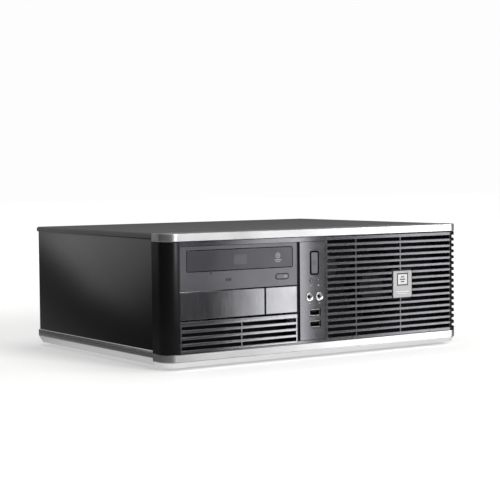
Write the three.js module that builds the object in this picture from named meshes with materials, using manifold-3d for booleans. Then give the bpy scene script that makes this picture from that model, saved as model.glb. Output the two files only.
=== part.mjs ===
// Desktop computer in a low, wide case that lies flat or stands on end.
// Millimetres, +Z up. The front faces -Y, the left end faces -X.
// Every dimension below is in the working frame: X from the left end of the
// bezel, Y from the flat of the front face towards the rear, Z from the
// underside of the base skin. The exported group then moves the whole object
// so that its origin is the centre of its footprint, at the soles of its feet.
import * as THREE from "three";
import { mergeVertices } from "three/addons/utils/BufferGeometryUtils.js";
import Module from "manifold-3d";

const wasm = await Module();
wasm.setup();

// ---------------------------------------------------------------- dimensions
const W = 400; // overall width, bezel end to bezel end
const H = 138.2; // base skin to top cover
const DEPTH = 304.3; // front face to the rear lip of the top cover
const FOOT_H = 3; // height of a rubber foot
const FRONT_PROUD = 1; // how far the badge stands in front of the bezel
const SCREW_PROUD = 2.7; // how far the thumbscrews stand behind the rear lip
const GAP = 0.3; // air between neighbouring pieces
const SHEET = 1.2; // sheet steel thickness
const SKIN_Z = 16.3; // top edge of the base skin
const SKIN_IN = 4; // the case is this much narrower than the bezel at each end

const BEZEL_R = 15; // plan radius of the bezel's ends
const BEZEL_D = 28; // depth of the bezel
const BEZEL_T = 2.6; // wall of the bezel
const TRIM_TOP_Z = 129.8; // lower edge of the silver band at the top
const TRIM_BOT_Z = 13.8; // upper edge of the silver band at the bottom
const CHAMFER_Z = 5.9; // height of the bevel under the bottom band
const CHAMFER_IN = 4.2; // how far that bevel runs in

const BAY = { x0: 17, x1: 165, z0: 15.2, z1: 124.7 };
const STRIP = { x0: 168.2, x1: 203, z0: 17.2, z1: 124.7 };
const GRILLE_X0 = 204.7;
const SLOT_Z0 = 20; // centre of the lowest vent slot
const SLOT_PITCH = 6.9;
const SLOT_H = 3.5;
const GRILLE_RIBS = [245.8, 310, 385];
const BADGE = { x0: 298.7, x1: 326.1, z0: 56.6, z1: 86.9 };

const DRIVE = { x0: 18.5, x1: 163.5, y0: 8, y1: 178, z0: 79.3, z1: 121.3 };
const DOOR = { x0: 25.5, x1: 158.5, z0: 98.5, z1: 120 };
const HUB = { x: 92, y: 75 }; // the disc's centre when the tray is shut
const INTAKE = { x: 296, z: 68, r: 43 };
const CPU = { x: 250, y: 150, r: 36 };
const SUPPLY = { x0: 8.5, x1: 143.5, y0: 196, y1: 301.2, z0: 9.2, z1: 95 };
const SUPPLY_FAN = { x: 50, z: 52, r: 37 };

// ------------------------------------------------------------------- helpers
const toSolid = (g0) => {
  const g = (g0.index ? g0.toNonIndexed() : g0.clone());
  const p = new THREE.BufferGeometry().setAttribute("position", g.getAttribute("position"));
  const m = mergeVertices(p, 1e-3), ix = m.index.array, tri = [];
  for (let i = 0; i < ix.length; i += 3) {
    const [a, b, c] = [ix[i], ix[i + 1], ix[i + 2]];
    if (a !== b && b !== c && c !== a) tri.push(a, b, c);
  }
  return new wasm.Manifold(new wasm.Mesh({
    numProp: 3,
    vertProperties: new Float32Array(m.attributes.position.array),
    triVerts: new Uint32Array(tri),
  }));
};
const toGeometry = (s) => {
  const m = s.getMesh(), n = m.numProp;
  const v = new Float32Array(m.numVert * 3);
  for (let i = 0; i < m.numVert; i++) v.set(m.vertProperties.subarray(i * n, i * n + 3), i * 3);
  const g = new THREE.BufferGeometry();
  g.setAttribute("position", new THREE.BufferAttribute(v, 3));
  g.setIndex(new THREE.BufferAttribute(new Uint32Array(m.triVerts), 1));
  g.computeVertexNormals();
  return g;
};
// a box between two corners
const box = (x0, x1, y0, y1, z0, z1) => toSolid(
  new THREE.BoxGeometry(x1 - x0, y1 - y0, z1 - z0).translate((x0 + x1) / 2, (y0 + y1) / 2, (z0 + z1) / 2));
const poly = (pts) => new THREE.Shape(pts.map(([a, b]) => new THREE.Vector2(a, b)));
const holed = (shape, holes) => { shape.holes.push(...holes); return shape; };
const ext = (shape, depth, seg = 6, more = {}) =>
  new THREE.ExtrudeGeometry(shape, { depth, bevelEnabled: false, curveSegments: seg, ...more });
// a plan outline (x, y) pushed up from z0 to z1
const upZ = (shape, z0, z1, seg) => toSolid(ext(shape, z1 - z0, seg).translate(0, 0, z0));
// a front outline (x, z) pushed back from y0 to y1
const backY = (shape, y0, y1, seg) => toSolid(ext(shape, y1 - y0, seg).rotateX(Math.PI / 2).translate(0, y1, 0));
const cylY = (x, z, r, y0, y1, seg = 16) => toSolid(
  new THREE.CylinderGeometry(r, r, y1 - y0, seg).translate(x, (y0 + y1) / 2, z));
const cylZ = (x, y, r, z0, z1, seg = 16) => toSolid(
  new THREE.CylinderGeometry(r, r, z1 - z0, seg).rotateX(Math.PI / 2).translate(x, y, (z0 + z1) / 2));
const union = (a) => a.reduce((s, t) => s.add(t));
const minus = (s, a) => a.reduce((t, c) => t.subtract(c), s);
const rect = (x0, x1, z0, z1) => poly([[x0, z0], [x1, z0], [x1, z1], [x0, z1]]);
const roundRect = (x0, x1, z0, z1, r) => {
  const s = new THREE.Shape();
  s.moveTo(x0 + r, z0); s.lineTo(x1 - r, z0); s.absarc(x1 - r, z0 + r, r, -Math.PI / 2, 0);
  s.lineTo(x1, z1 - r); s.absarc(x1 - r, z1 - r, r, 0, Math.PI / 2);
  s.lineTo(x0 + r, z1); s.absarc(x0 + r, z1 - r, r, Math.PI / 2, Math.PI);
  s.lineTo(x0, z0 + r); s.absarc(x0 + r, z0 + r, r, Math.PI, 1.5 * Math.PI);
  return s;
};
const circle = (x, z, r) => { const s = new THREE.Shape(); s.absarc(x, z, r, 0, 2 * Math.PI); return s; };

const root = new THREE.Group();
root.name = "desktop_computer";
root.position.set(-W / 2, -(DEPTH + SCREW_PROUD - FRONT_PROUD) / 2, FOOT_H);
const MAT = (color, roughness, metalness) => new THREE.MeshStandardMaterial({ color, roughness, metalness });
const dark = MAT(0x3a3b40, 0.42, 0.25), silver = MAT(0xc9cacc, 0.35, 0.6), black = MAT(0x17181a, 0.4, 0.3);
const steel = MAT(0xb4b6b8, 0.4, 0.9), rubber = MAT(0x151515, 0.9, 0), pcb = MAT(0x1d4a2c, 0.6, 0);
const blackPlastic = MAT(0x111214, 0.55, 0), brightMetal = MAT(0xd8d8d8, 0.25, 1);
const red = MAT(0xa01818, 0.5, 0), amber = MAT(0x9a9a92, 0.3, 0), alu = MAT(0xbfc1c4, 0.45, 0.8);
const add = (name, solid, material) => {
  const mesh = new THREE.Mesh(toGeometry(solid), material);
  mesh.name = name;
  root.add(mesh);
  return mesh;
};

// -------------------------------------------------------------- front bezel
// plan outline of the bezel, set in by a wall thickness, with a square back
const plan = (inset, back, seg = 6) => {
  const r = BEZEL_R - inset, s = [];
  s.push([inset, back]);
  for (let i = 0; i <= seg; i++) {
    const t = Math.PI + (i / seg) * Math.PI / 2;
    s.push([BEZEL_R + r * Math.cos(t), BEZEL_R + r * Math.sin(t)]);
  }
  for (let i = 0; i <= seg; i++) {
    const t = 1.5 * Math.PI + (i / seg) * Math.PI / 2;
    s.push([W - BEZEL_R + r * Math.cos(t), BEZEL_R + r * Math.sin(t)]);
  }
  s.push([W - inset, back]);
  return poly(s);
};
const wrapWall = (z0, z1) => upZ(plan(0, BEZEL_D), z0, z1).subtract(upZ(plan(BEZEL_T, 60), z0 - 1, z1 + 1));

// silver band along the top, with a ledge that closes the bezel's top
add("trim_top", upZ(plan(0, BEZEL_D), TRIM_TOP_Z, H)
  .subtract(upZ(plan(3, 60), TRIM_TOP_Z - 1, H - 2.6)), silver);

// silver band along the bottom: an upright band above a bevel that runs under
{
  const g = ext(plan(0, BEZEL_D + 20), TRIM_BOT_Z - CHAMFER_Z, 6, {
    bevelEnabled: true, bevelThickness: CHAMFER_Z, bevelSize: CHAMFER_IN, bevelOffset: -CHAMFER_IN, bevelSegments: 1,
  }).translate(0, 0, CHAMFER_Z);
  let s = toSolid(g);
  s = minus(s, [box(-10, W + 10, -10, 80, TRIM_BOT_Z, 60), box(-10, W + 10, BEZEL_D, 80, -10, 60),
    upZ(plan(5.6, 60), 2.4, 60)]);
  add("trim_bottom", s, silver);
}

// dark frame from the left end to the grille, with windows for bays and controls
{
  let s = wrapWall(TRIM_BOT_Z + GAP, TRIM_TOP_Z - GAP).subtract(box(GRILLE_X0 - GAP, W + 5, -5, 60, 0, 150));
  s = minus(s, [
    box(BAY.x0 - 0.2, BAY.x1 - 0.1, -5, 10, BAY.z0, BAY.z1),
    box(STRIP.x0, STRIP.x1, -5, 10, STRIP.z0, STRIP.z1),
    box(BAY.x1 - 0.2, STRIP.x0 + 0.1, -5, 1.5, BAY.z0 + 2, BAY.z1), // sunk post between bays and controls
  ]);
  // return flange at the back of the left end
  s = s.add(box(BEZEL_T - 0.3, 7, BEZEL_D - 1.6, BEZEL_D, TRIM_BOT_Z + GAP, TRIM_TOP_Z - GAP));
  add("bezel_frame", s, dark);
}

// right-hand grille: 16 slots that run round the right end, thin upright ribs
{
  let s = wrapWall(TRIM_BOT_Z + GAP, TRIM_TOP_Z - GAP).subtract(box(-5, GRILLE_X0, -5, 60, 0, 150));
  const cuts = [];
  const cols = [[206.2, GRILLE_RIBS[0] - 0.6], [GRILLE_RIBS[0] + 0.6, GRILLE_RIBS[1] - 0.6], [GRILLE_RIBS[1] + 0.6, GRILLE_RIBS[2] - 0.5], [GRILLE_RIBS[2] + 0.5, W + 3]];
  for (let k = 0; k < 16; k++) {
    const z = SLOT_Z0 + k * SLOT_PITCH, a = z - SLOT_H / 2, b = z + SLOT_H / 2;
    const behindBadge = z > BADGE.z0 && z < BADGE.z1;
    if (behindBadge) cuts.push(box(cols[0][0], cols[0][1], -2, 22, a, b), box(cols[1][0], BADGE.x0 - 1.4, -2, 22, a, b), box(BADGE.x1 + 1.4, cols[2][1], -2, 22, a, b), box(cols[3][0], cols[3][1], -2, 22, a, b));
    else for (const [x0, x1] of cols) cuts.push(box(x0, x1, -2, 22, a, b));
  }
  s = minus(s, cuts);
  s = s.subtract(box(BADGE.x0 - 1.4, BADGE.x1 + 1.4, -2, 1.4, BADGE.z0 - 0.35, BADGE.z1 + 0.35));
  // thin liner inside the rounded corner and the right end, behind the slots
  const z0 = TRIM_BOT_Z + GAP, z1 = TRIM_TOP_Z - GAP;
  const liner = upZ(plan(BEZEL_T - 0.1, 40), z0, z1).subtract(upZ(plan(BEZEL_T + 0.8, 60), z0 - 1, z1 + 1))
    .subtract(box(-5, 384.6, -5, 60, 0, 150)).subtract(box(-5, W + 5, 25, 80, 0, 150));
  // return flange at the back of the right end
  s = s.add(liner).add(box(W - 7, W - BEZEL_T + 0.3, BEZEL_D - 1.6, BEZEL_D, z0, z1));
  add("front_grille", s, dark);
}
add("badge", backY(roundRect(BADGE.x0, BADGE.x1, BADGE.z0, BADGE.z1, 0.8), -FRONT_PROUD, 1.1, 2), silver);

// lower left vent with four slots either side of a rib
{
  const cuts = [];
  for (let k = 0; k < 4; k++) {
    const z = SLOT_Z0 + k * SLOT_PITCH, a = z - SLOT_H / 2, b = z + SLOT_H / 2;
    cuts.push(box(18.6, 91.2, -1, 9, a, b), box(93.4, 163.2, -1, 9, a, b));
  }
  add("vent_panel", minus(box(BAY.x0 + 0.2, BAY.x1 - 0.4, 0, BEZEL_T, BAY.z0 + 0.2, 47.1), cuts), dark);
}

// blanks over the unused bay
add("bay_blank", backY(rect(BAY.x0 + 0.2, 121.9, 48.9, 77.3), 0, 3), dark);
add("bay_filler", backY(rect(123.4, BAY.x1 - 0.4, 48.9, 77.3), 0, 3), dark);

// control strip with its windows
const PB = { x0: 182, x1: 194.2, z0: 88, z1: 114.3 };
const USB = [{ x0: 181.7, x1: 196.3, z0: 42.9, z1: 50.9 }, { x0: 181.7, x1: 196.3, z0: 30.5, z1: 38.5 }];
{
  add("control_panel", minus(box(STRIP.x0 + GAP, STRIP.x1 - GAP, 0, 3, STRIP.z0 + GAP, STRIP.z1 - GAP), [
    backY(roundRect(PB.x0, PB.x1, PB.z0, PB.z1, 2.6), -1, 9, 4),
    cylY(183.2, 82.2, 2.2, -1, 9, 14), cylY(193.4, 82.2, 1.8, -1, 9, 12),
    cylY(181.4, 64.4, 5.1, -1, 9, 18), cylY(194.6, 64.4, 5.1, -1, 9, 18),
    ...USB.map((u) => box(u.x0, u.x1, -1, 9, u.z0, u.z1))]), dark);
}
add("power_button", union([
  backY(roundRect(PB.x0 + 1.7, PB.x1 - 1.7, PB.z0 + 1.7, PB.z1 - 1.7, 1.2), -0.4, 4.5, 3),
  box(186.1, 190.1, 4.4, 11, 99.2, 103.2),
]), dark);
add("power_led", cylY(183.2, 82.2, 1.9, -0.2, 9, 12), amber);
add("activity_led", cylY(193.4, 82.2, 1.5, -0.2, 9, 12), amber);
for (const [name, x] of [["headphone_jack", 181.4], ["microphone_jack", 194.6]]) {
  // a collar at the panel, a barrel behind it and a blind bore
  const s = cylY(x, 64.4, 4.7, -0.5, 3.4, 16).add(cylY(x, 64.4, 4.1, 3, 15.1, 16)).subtract(cylY(x, 64.4, 1.8, -2, 13.6, 12));
  add(name, s, brightMetal);
}
USB.forEach((u, i) => {
  const cx = (u.x0 + u.x1) / 2, cz = (u.z0 + u.z1) / 2;
  let s = box(cx - 6.9, cx + 6.9, 0.3, 15.1, cz - 3.6, cz + 3.6);
  s = s.subtract(box(cx - 6.2, cx + 6.2, -1, 13.6, cz - 2.7, cz + 2.7));
  s = s.add(box(cx - 5.5, cx + 5.5, 2, 14, cz + 0.1, cz + 1.9));
  add(i ? "usb_port_lower" : "usb_port_upper", s, brightMetal);
});
add("front_io_board", box(172, 200, 15.4, 17, 24, 112), pcb);

// ------------------------------------------------------------ optical drive
{
  add("drive_bezel", minus(box(BAY.x0 + 0.2, BAY.x1 - 0.4, 0, 5.6, 78.5, BAY.z1 - 0.3), [
    backY(roundRect(DOOR.x0 - 0.6, DOOR.x1 + 0.6, DOOR.z0 - 0.6, DOOR.z1 + 0.6, 2.2), -1, 9, 4),
    backY(roundRect(136.1, 153.9, 85.4, 91.8, 3.15), -1, 9, 4), cylY(54.7, 96.2, 0.8, -1, 9, 8)]), dark);
}
add("tray_door", backY(roundRect(DOOR.x0, DOOR.x1, DOOR.z0, DOOR.z1, 1.7), 0, 4.4, 4), dark);
add("eject_button", backY(roundRect(136.7, 153.3, 86, 91.2, 2.55), -0.5, 6.2, 4), dark);
{
  // sheet case, open at the front, with the mechanism deck across its floor
  let s = box(DRIVE.x0, DRIVE.x1, DRIVE.y0, DRIVE.y1, DRIVE.z0, DRIVE.z1);
  s = s.subtract(box(DRIVE.x0 + 1.2, DRIVE.x1 - 1.2, -5, DRIVE.y1 - 1.2, DRIVE.z0 + 1.2, DRIVE.z1 - 1.2));
  s = s.add(box(45, 139, 45, 165, DRIVE.z0 + 1, 87));
  add("drive_case", s, steel);
}
{
  // tray with a shallow disc seat and a slot, open to the rear, for hub and pickup
  let s = box(28, 156, 4.8, 160, 99.3, 105.5);
  s = minus(s, [cylZ(HUB.x, HUB.y, 60.5, 103.6, 110, 36), box(71, 113, 75, 170, 90, 110), cylZ(HUB.x, HUB.y, 21, 90, 110, 20)]);
  add("disc_tray", s, blackPlastic);
}
add("disc_spindle", union([cylZ(HUB.x, HUB.y, 12, 92, 104, 20), cylZ(HUB.x, HUB.y, 7.3, 103, 107.5, 16), cylZ(HUB.x, HUB.y, 5, 87.5, 93, 12)]), steel);
add("laser_sled", union([box(82, 102, 92, 112, 87.5, 95), cylZ(92, 99, 4, 94, 96.5, 12)]), blackPlastic);

// sheet cage that holds both drives
add("drive_cage", backY(poly([[15.8, 45.4], [166.2, 45.4], [166.2, 123], [165, 123], [165, 46.6], [17, 46.6], [17, 123], [15.8, 123]]), 31.2, 178), steel);
add("hard_drive", union([box(19, 120.6, 34, 181, 49.4, 73.5), box(25, 114.6, 40, 150, 73, 75.3), cylZ(78, 90, 30, 73, 76.2, 24)]), alu);

// ------------------------------------------------------------------ casework
const cx0 = SKIN_IN + 1.5, cx1 = W - SKIN_IN - 1.5; // outer faces of the chassis walls
// a wall across the inside of the pan, its lower corners cut to follow the pan's bends
const crossWall = (y0, y1) => backY(poly([[cx0 + 4, 9.1], [cx1 - 4, 9.1], [cx1 - 1.5, 12.6], [cx1 - 1.5, 133], [cx0 + 1.5, 133], [cx0 + 1.5, 12.6]]), y0, y1);
add("base_skin", backY(poly([
  [SKIN_IN, SKIN_Z], [SKIN_IN, 8.3], [SKIN_IN + 5.5, 0], [W - SKIN_IN - 5.5, 0], [W - SKIN_IN, 8.3], [W - SKIN_IN, SKIN_Z],
  [W - SKIN_IN - 1.2, SKIN_Z], [W - SKIN_IN - 1.2, 8.7], [W - SKIN_IN - 6.2, 1.2], [SKIN_IN + 6.2, 1.2], [SKIN_IN + 1.2, 8.7], [SKIN_IN + 1.2, SKIN_Z]]),
  BEZEL_D + 0.4, 303.4), silver);
add("chassis_pan", backY(poly([[cx0 + 2.2, 7.6], [cx1 - 2.2, 7.6], [cx1, 10.8], [cx1, 136.6], [cx0, 136.6], [cx0, 10.8]]), 29.3, 302.8)
  .subtract(backY(poly([[cx0 + 2.8, 8.8], [cx1 - 2.8, 8.8], [cx1 - SHEET, 11.3], [cx1 - SHEET, 150], [cx0 + SHEET, 150], [cx0 + SHEET, 11.3]]), 20, 310)), black);
{
  add("front_plate", minus(crossWall(29.5, 30.7), [
    box(15, 167, 20, 40, 44.6, 124), box(171, 201, 20, 40, 23, 113),
    cylY(INTAKE.x, INTAKE.z, 44, 20, 40, 36), cylY(224, 94, 15, 20, 40, 20)]), steel);
}
{
  // rear wall: supply window, port window, two card slots and a vent field
  const cuts = [box(12, 140, 290, 310, 13, 91.5), box(150, 309, 290, 310, 16, 61),
    box(322, 336, 290, 310, 18, 122), box(346, 360, 290, 310, 18, 122)];
  for (let i = 0; i < 12; i++) cuts.push(box(160 + i * 12, 165 + i * 12, 290, 310, 76, 112));
  add("rear_panel", minus(crossWall(301.6, 302.8), cuts), steel);
}
{
  const t = 1.2;
  let s = backY(poly([
    [SKIN_IN, 132.8], [SKIN_IN + t, 132.8], [SKIN_IN + t, H - t], [W - SKIN_IN - t, H - t], [W - SKIN_IN - t, 132.8], [W - SKIN_IN, 132.8],
    [W - SKIN_IN, H - 1.6], [W - SKIN_IN - 1.6, H], [SKIN_IN + 1.6, H], [SKIN_IN, H - 1.6]]), BEZEL_D + 0.4, DEPTH);
  const lip = box(10, 312, 303.1, DEPTH, 124, H - 0.6).add(box(318, 390, 303.1, DEPTH, 133.5, H - 0.6));
  s = minus(s.add(lip), [cylY(60, 129.5, 2.2, 300, 306, 12), cylY(262, 129.5, 2.2, 300, 306, 12)]);
  add("top_cover", s, silver);
}
for (const [name, x] of [["thumbscrew_left", 60], ["thumbscrew_right", 262]])
  add(name, union([cylY(x, 129.5, 5.2, DEPTH + 0.3, DEPTH + SCREW_PROUD, 18), cylY(x, 129.5, 1.8, 303.3, DEPTH + 1, 10)]), steel);
for (const [name, x, y] of [["foot_front_left", 34, 58], ["foot_front_right", 366, 58], ["foot_rear_left", 34, 272], ["foot_rear_right", 366, 272]])
  add(name, cylZ(x, y, 10, -FOOT_H, -0.2, 18), rubber);

// ---------------------------------------------------------------------- fans
const rotor = (hubR, tipR, len, blades) => {
  // a hub and pitched blades about the Z axis, from z = 0 to len
  const parts = [toSolid(new THREE.CylinderGeometry(hubR, hubR, len, 16).rotateX(Math.PI / 2).translate(0, 0, len / 2))];
  for (let i = 0; i < blades; i++) {
    const g = new THREE.BoxGeometry(tipR - hubR + 2, 1.4, len * 1.05);
    g.rotateX(0.72).translate(hubR - 2 + (tipR - hubR + 2) / 2, 0, len / 2).rotateZ((i / blades) * 2 * Math.PI);
    parts.push(toSolid(g));
  }
  return union(parts);
};
const fanFrame = (size, bore, len, hubR) => {
  // square frame with a round bore and four struts that carry the motor, about Z
  const h = size / 2;
  let s = toSolid(ext(holed(rect(-h, h, -h, h), [circle(0, 0, bore)]), len, 20));
  const bars = [0, 1].map((i) => toSolid(new THREE.BoxGeometry(2 * bore + 2, 4, 2.4).translate(0, 0, 1.2).rotateZ(Math.PI / 4 + i * Math.PI / 2)));
  return union([s, ...bars, toSolid(new THREE.CylinderGeometry(hubR, hubR, 2.4, 16).rotateX(Math.PI / 2).translate(0, 0, 1.2))]);
};
// turned so that local +Z runs towards the front (-Y)
const facing = (s) => s.rotate([90, 0, 0]);
add("intake_fan_frame", facing(fanFrame(92, 44, 25, 17)).translate([INTAKE.x, 56.2, INTAKE.z]), blackPlastic);
add("intake_fan_rotor", facing(rotor(18, 42, 18, 7)).translate([INTAKE.x, 53, INTAKE.z]), blackPlastic);
add("cpu_fan_frame", fanFrame(80, 37.5, 20, 15).rotate([180, 0, 0]).translate([CPU.x, CPU.y, 80]), blackPlastic);
add("cpu_fan_rotor", rotor(15, CPU.r, 14, 7).translate([CPU.x, CPU.y, 61.5]), blackPlastic);

// ---------------------------------------------------------------- speaker
add("speaker", union([cylY(224, 94, 14, 24, 42, 18), box(207, 241, 31.2, 33.4, 77, 111)]), blackPlastic);

// ------------------------------------------------------------ board and parts
{
  const z = 15.6;
  const b = [box(150, 389, 62, 300, 14, z)];
  for (const [x, y] of [[158, 72], [158, 288], [380, 72], [380, 288], [270, 80], [270, 280]]) b.push(cylZ(x, y, 3, 9.1, 14.5, 8));
  b.push(box(226, 274, 126, 174, z - 0.2, 19.4)); // processor socket
  b.push(box(222, 258, 222, 258, z - 0.2, 30)); // bridge chip and its cooler
  for (let i = 0; i < 5; i++) b.push(box(223 + i * 8, 225.5 + i * 8, 222, 258, 29, 42));
  b.push(box(328, 337, 70, 205, z - 0.2, 25), box(342, 351, 70, 205, z - 0.2, 25)); // memory sockets
  b.push(box(322, 330, 214, 286, z - 0.2, 27), box(348, 356, 214, 286, z - 0.2, 27)); // card sockets
  b.push(box(160, 171, 80, 132, z - 0.2, 28)); // supply socket
  b.push(box(160, 176, 150, 168, z - 0.2, 24)); // drive sockets
  for (const [x, y] of [[196, 118], [196, 132], [196, 146], [196, 160], [210, 200], [224, 200], [300, 120], [300, 134], [300, 200]]) b.push(cylZ(x, y, 4, z - 0.2, 28, 8));
  b.push(cylZ(300, 236, 10, z - 0.2, 21, 16)); // coin cell
  let s = union(b);
  s = minus(s, [box(331.4, 333.6, 71.5, 203.5, 19.5, 30), box(345.4, 347.6, 71.5, 203.5, 19.5, 30)]);
  add("motherboard", s, pcb);
}
{
  const b = [box(212, 288, 112, 188, 19.8, 27)];
  for (let i = 0; i < 15; i++) b.push(box(212 + i * 5.3, 213.8 + i * 5.3, 112, 188, 26.5, 59.6));
  add("heatsink", union(b), alu);
}
add("memory_module_a", box(331.8, 333.2, 72, 203, 20, 51), pcb);
add("memory_module_b", box(345.8, 347.2, 72, 203, 20, 51), pcb);

// -------------------------------------------------------------- power supply
{
  const t = 1.2, P = SUPPLY;
  let s = box(P.x0, P.x1, P.y0, P.y1, P.z0, P.z1).subtract(box(P.x0 + t, P.x1 - t, P.y0 + t, P.y1 - t, P.z0 + t, P.z1 - t));
  const rear = [cylY(SUPPLY_FAN.x, SUPPLY_FAN.z, 37.5, P.y1 - 3, P.y1 + 3, 28), box(100, 127, P.y1 - 3, P.y1 + 3, 22, 42), box(102, 124, P.y1 - 3, P.y1 + 3, 59, 69)];
  for (let i = 0; i < 6; i++) rear.push(box(P.x0 + 20 + i * 12, P.x0 + 26 + i * 12, P.y0 - 3, P.y0 + 3, 30, 76));
  rear.push(cylY(128, 80, 6, P.y0 - 3, P.y0 + 3, 12));
  s = minus(s, rear);
  // cross bars behind the fan opening
  s = s.add(box(SUPPLY_FAN.x - 38, SUPPLY_FAN.x + 38, P.y1 - 1.2, P.y1, SUPPLY_FAN.z - 1, SUPPLY_FAN.z + 1));
  s = s.add(box(SUPPLY_FAN.x - 1, SUPPLY_FAN.x + 1, P.y1 - 1.2, P.y1, SUPPLY_FAN.z - 38, SUPPLY_FAN.z + 38));
  s = s.add(cylY(SUPPLY_FAN.x, SUPPLY_FAN.z, 14, P.y1 - 1.2, P.y1, 16));
  add("supply_case", s, steel);
}
add("supply_fan_rotor", facing(rotor(14, 35.5, 16, 7)).translate([SUPPLY_FAN.x, 298, SUPPLY_FAN.z]), blackPlastic);
{
  // inlet: flanged block, a recess open to the rear and three blades in it
  let s = box(100.4, 126.6, 285, 303.4, 22.4, 41.6);
  s = s.subtract(box(102, 125, 288, 310, 24.2, 40));
  s = union([s, box(105.5, 107.5, 287, 300, 31.5, 35.5), box(119.5, 121.5, 287, 300, 31.5, 35.5), box(112.5, 114.5, 287, 301, 35.3, 39.3)]);
  add("power_inlet", s, blackPlastic);
}
add("voltage_switch", union([box(103.5, 114.5, 298.6, 299.8, 60, 68), box(104.5, 113.5, 299.6, 302.4, 61, 67)]), red);

// ---------------------------------------------------------------- rear ports
{
  add("io_shield", minus(box(150.4, 308.6, 301.9, 302.6, 16.4, 60.6), [
    box(157, 190, 290, 310, 20, 34), box(196, 229, 290, 310, 20, 34), box(236, 252, 290, 310, 15.6, 47),
    box(256, 272, 290, 310, 15.6, 47), box(280, 294, 290, 310, 15.6, 55)]), steel);
}
// D-sub ports: a body on the board and a keystone shell through the shield
const dsub = (x, shellOut, pins) => {
  let s = box(x - 15.5, x + 15.5, 290, 302, 21, 33);
  const k = (g, w) => poly([[x - w, 27 + g], [x + w, 27 + g], [x + w - 1.6, 27 - g], [x - w + 1.6, 27 - g]]);
  s = s.add(backY(k(4.2, 8.6), 301, 302 + shellOut));
  s = s.subtract(backY(k(3.4, 7.8), 298, 320));
  return s;
};
add("serial_port", dsub(173.5, 4.5), brightMetal);
add("video_port", dsub(212.5, 4.5), brightMetal);
const usbHole = (cx, cz) => box(cx - 6.2, cx + 6.2, 290, 310, cz - 2.7, cz + 2.7);
{
  let s = box(236.4, 251.6, 284, 303.6, 16, 46.6);
  s = minus(s, [usbHole(244, 22), usbHole(244, 30), box(238, 250, 291, 310, 36, 44.4)]);
  s = union([s, box(238.5, 249.5, 289, 301.5, 22.4, 24), box(238.5, 249.5, 289, 301.5, 30.4, 32)]);
  add("lan_stack", s, brightMetal);
}
{
  let s = box(256.4, 271.6, 284, 303.6, 16, 46.6);
  s = minus(s, [usbHole(264, 22), usbHole(264, 31), usbHole(264, 40)]);
  s = union([s, ...[22, 31, 40].map((z) => box(258.5, 269.5, 289, 301.5, z + 0.4, z + 2))]);
  add("usb_stack", s, brightMetal);
}
{
  let s = box(280.4, 293.6, 284, 303.4, 16, 54.6);
  s = minus(s, [23, 35.5, 48].map((z) => cylY(287, z, 1.8, 290, 310, 12)));
  add("audio_stack", s, blackPlastic);
}

// ---------------------------------------------------------------- card slots
for (const [name, x] of [["slot_cover_inner", 322], ["slot_cover_outer", 346]])
  add(name, union([box(x + 0.3, x + 13.7, 301.8, 302.6, 18.3, 121.7), box(x + 0.3, x + 13.7, 294, 302.6, 120.9, 121.7)]), steel);
// lock bar over the heads of the slot covers, hung on an upright edge
add("slot_lock", union([
  box(317, 388.8, 303.4, 304.9, 108, 122), cylZ(389, 304.3, 0.9, 106, 124, 10),
  box(317, 321, 304.4, 306.6, 111, 119)]), blackPlastic);

// ------------------------------------------------------------- supply harness
{
  const pts = [[128, 195.4, 80], [129, 190.5, 79], [137, 187.5, 70], [156, 188, 56], [176, 180, 47], [184, 156, 42], [182, 128, 39], [172, 108, 36.5], [166, 106, 33], [165.5, 106, 28.6]];
  const curve = new THREE.CatmullRomCurve3(pts.map((p) => new THREE.Vector3(...p)), false, "centripetal");
  const sec = new THREE.Shape();
  for (let i = 0; i < 8; i++) { const t = i * Math.PI / 4; i ? sec.lineTo(4.2 * Math.cos(t), 4.2 * Math.sin(t)) : sec.moveTo(4.2, 0); }
  add("supply_harness", toSolid(new THREE.ExtrudeGeometry(sec, { steps: 26, extrudePath: curve, bevelEnabled: false })), blackPlastic);
}

export default root;
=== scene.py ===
"""Looks for a desktop computer that lies flat: bezel, drive, ports, cover, rear and inside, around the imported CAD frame."""
import math
import bpy
import bmesh
from mathutils import Vector, Matrix


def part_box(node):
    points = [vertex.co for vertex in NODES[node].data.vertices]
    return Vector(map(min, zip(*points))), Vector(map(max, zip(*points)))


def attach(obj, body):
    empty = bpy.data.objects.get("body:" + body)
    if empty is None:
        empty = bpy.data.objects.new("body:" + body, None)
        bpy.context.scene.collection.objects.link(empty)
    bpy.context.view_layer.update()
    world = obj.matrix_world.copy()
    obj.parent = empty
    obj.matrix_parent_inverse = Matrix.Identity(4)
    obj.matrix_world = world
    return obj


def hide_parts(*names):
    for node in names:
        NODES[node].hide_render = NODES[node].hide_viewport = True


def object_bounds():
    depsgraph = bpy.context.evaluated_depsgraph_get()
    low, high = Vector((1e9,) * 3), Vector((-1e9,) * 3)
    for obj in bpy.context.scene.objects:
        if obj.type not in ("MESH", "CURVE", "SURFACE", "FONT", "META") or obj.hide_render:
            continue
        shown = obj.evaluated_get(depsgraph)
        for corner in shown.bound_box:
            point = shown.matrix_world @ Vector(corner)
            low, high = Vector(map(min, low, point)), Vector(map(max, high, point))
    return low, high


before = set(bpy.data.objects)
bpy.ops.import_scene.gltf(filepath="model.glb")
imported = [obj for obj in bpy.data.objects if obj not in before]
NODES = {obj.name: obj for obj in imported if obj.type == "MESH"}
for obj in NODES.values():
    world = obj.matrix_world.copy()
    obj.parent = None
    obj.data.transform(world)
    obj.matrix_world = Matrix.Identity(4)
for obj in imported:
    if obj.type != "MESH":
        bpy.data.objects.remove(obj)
CAD_LO, CAD_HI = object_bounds()

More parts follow.
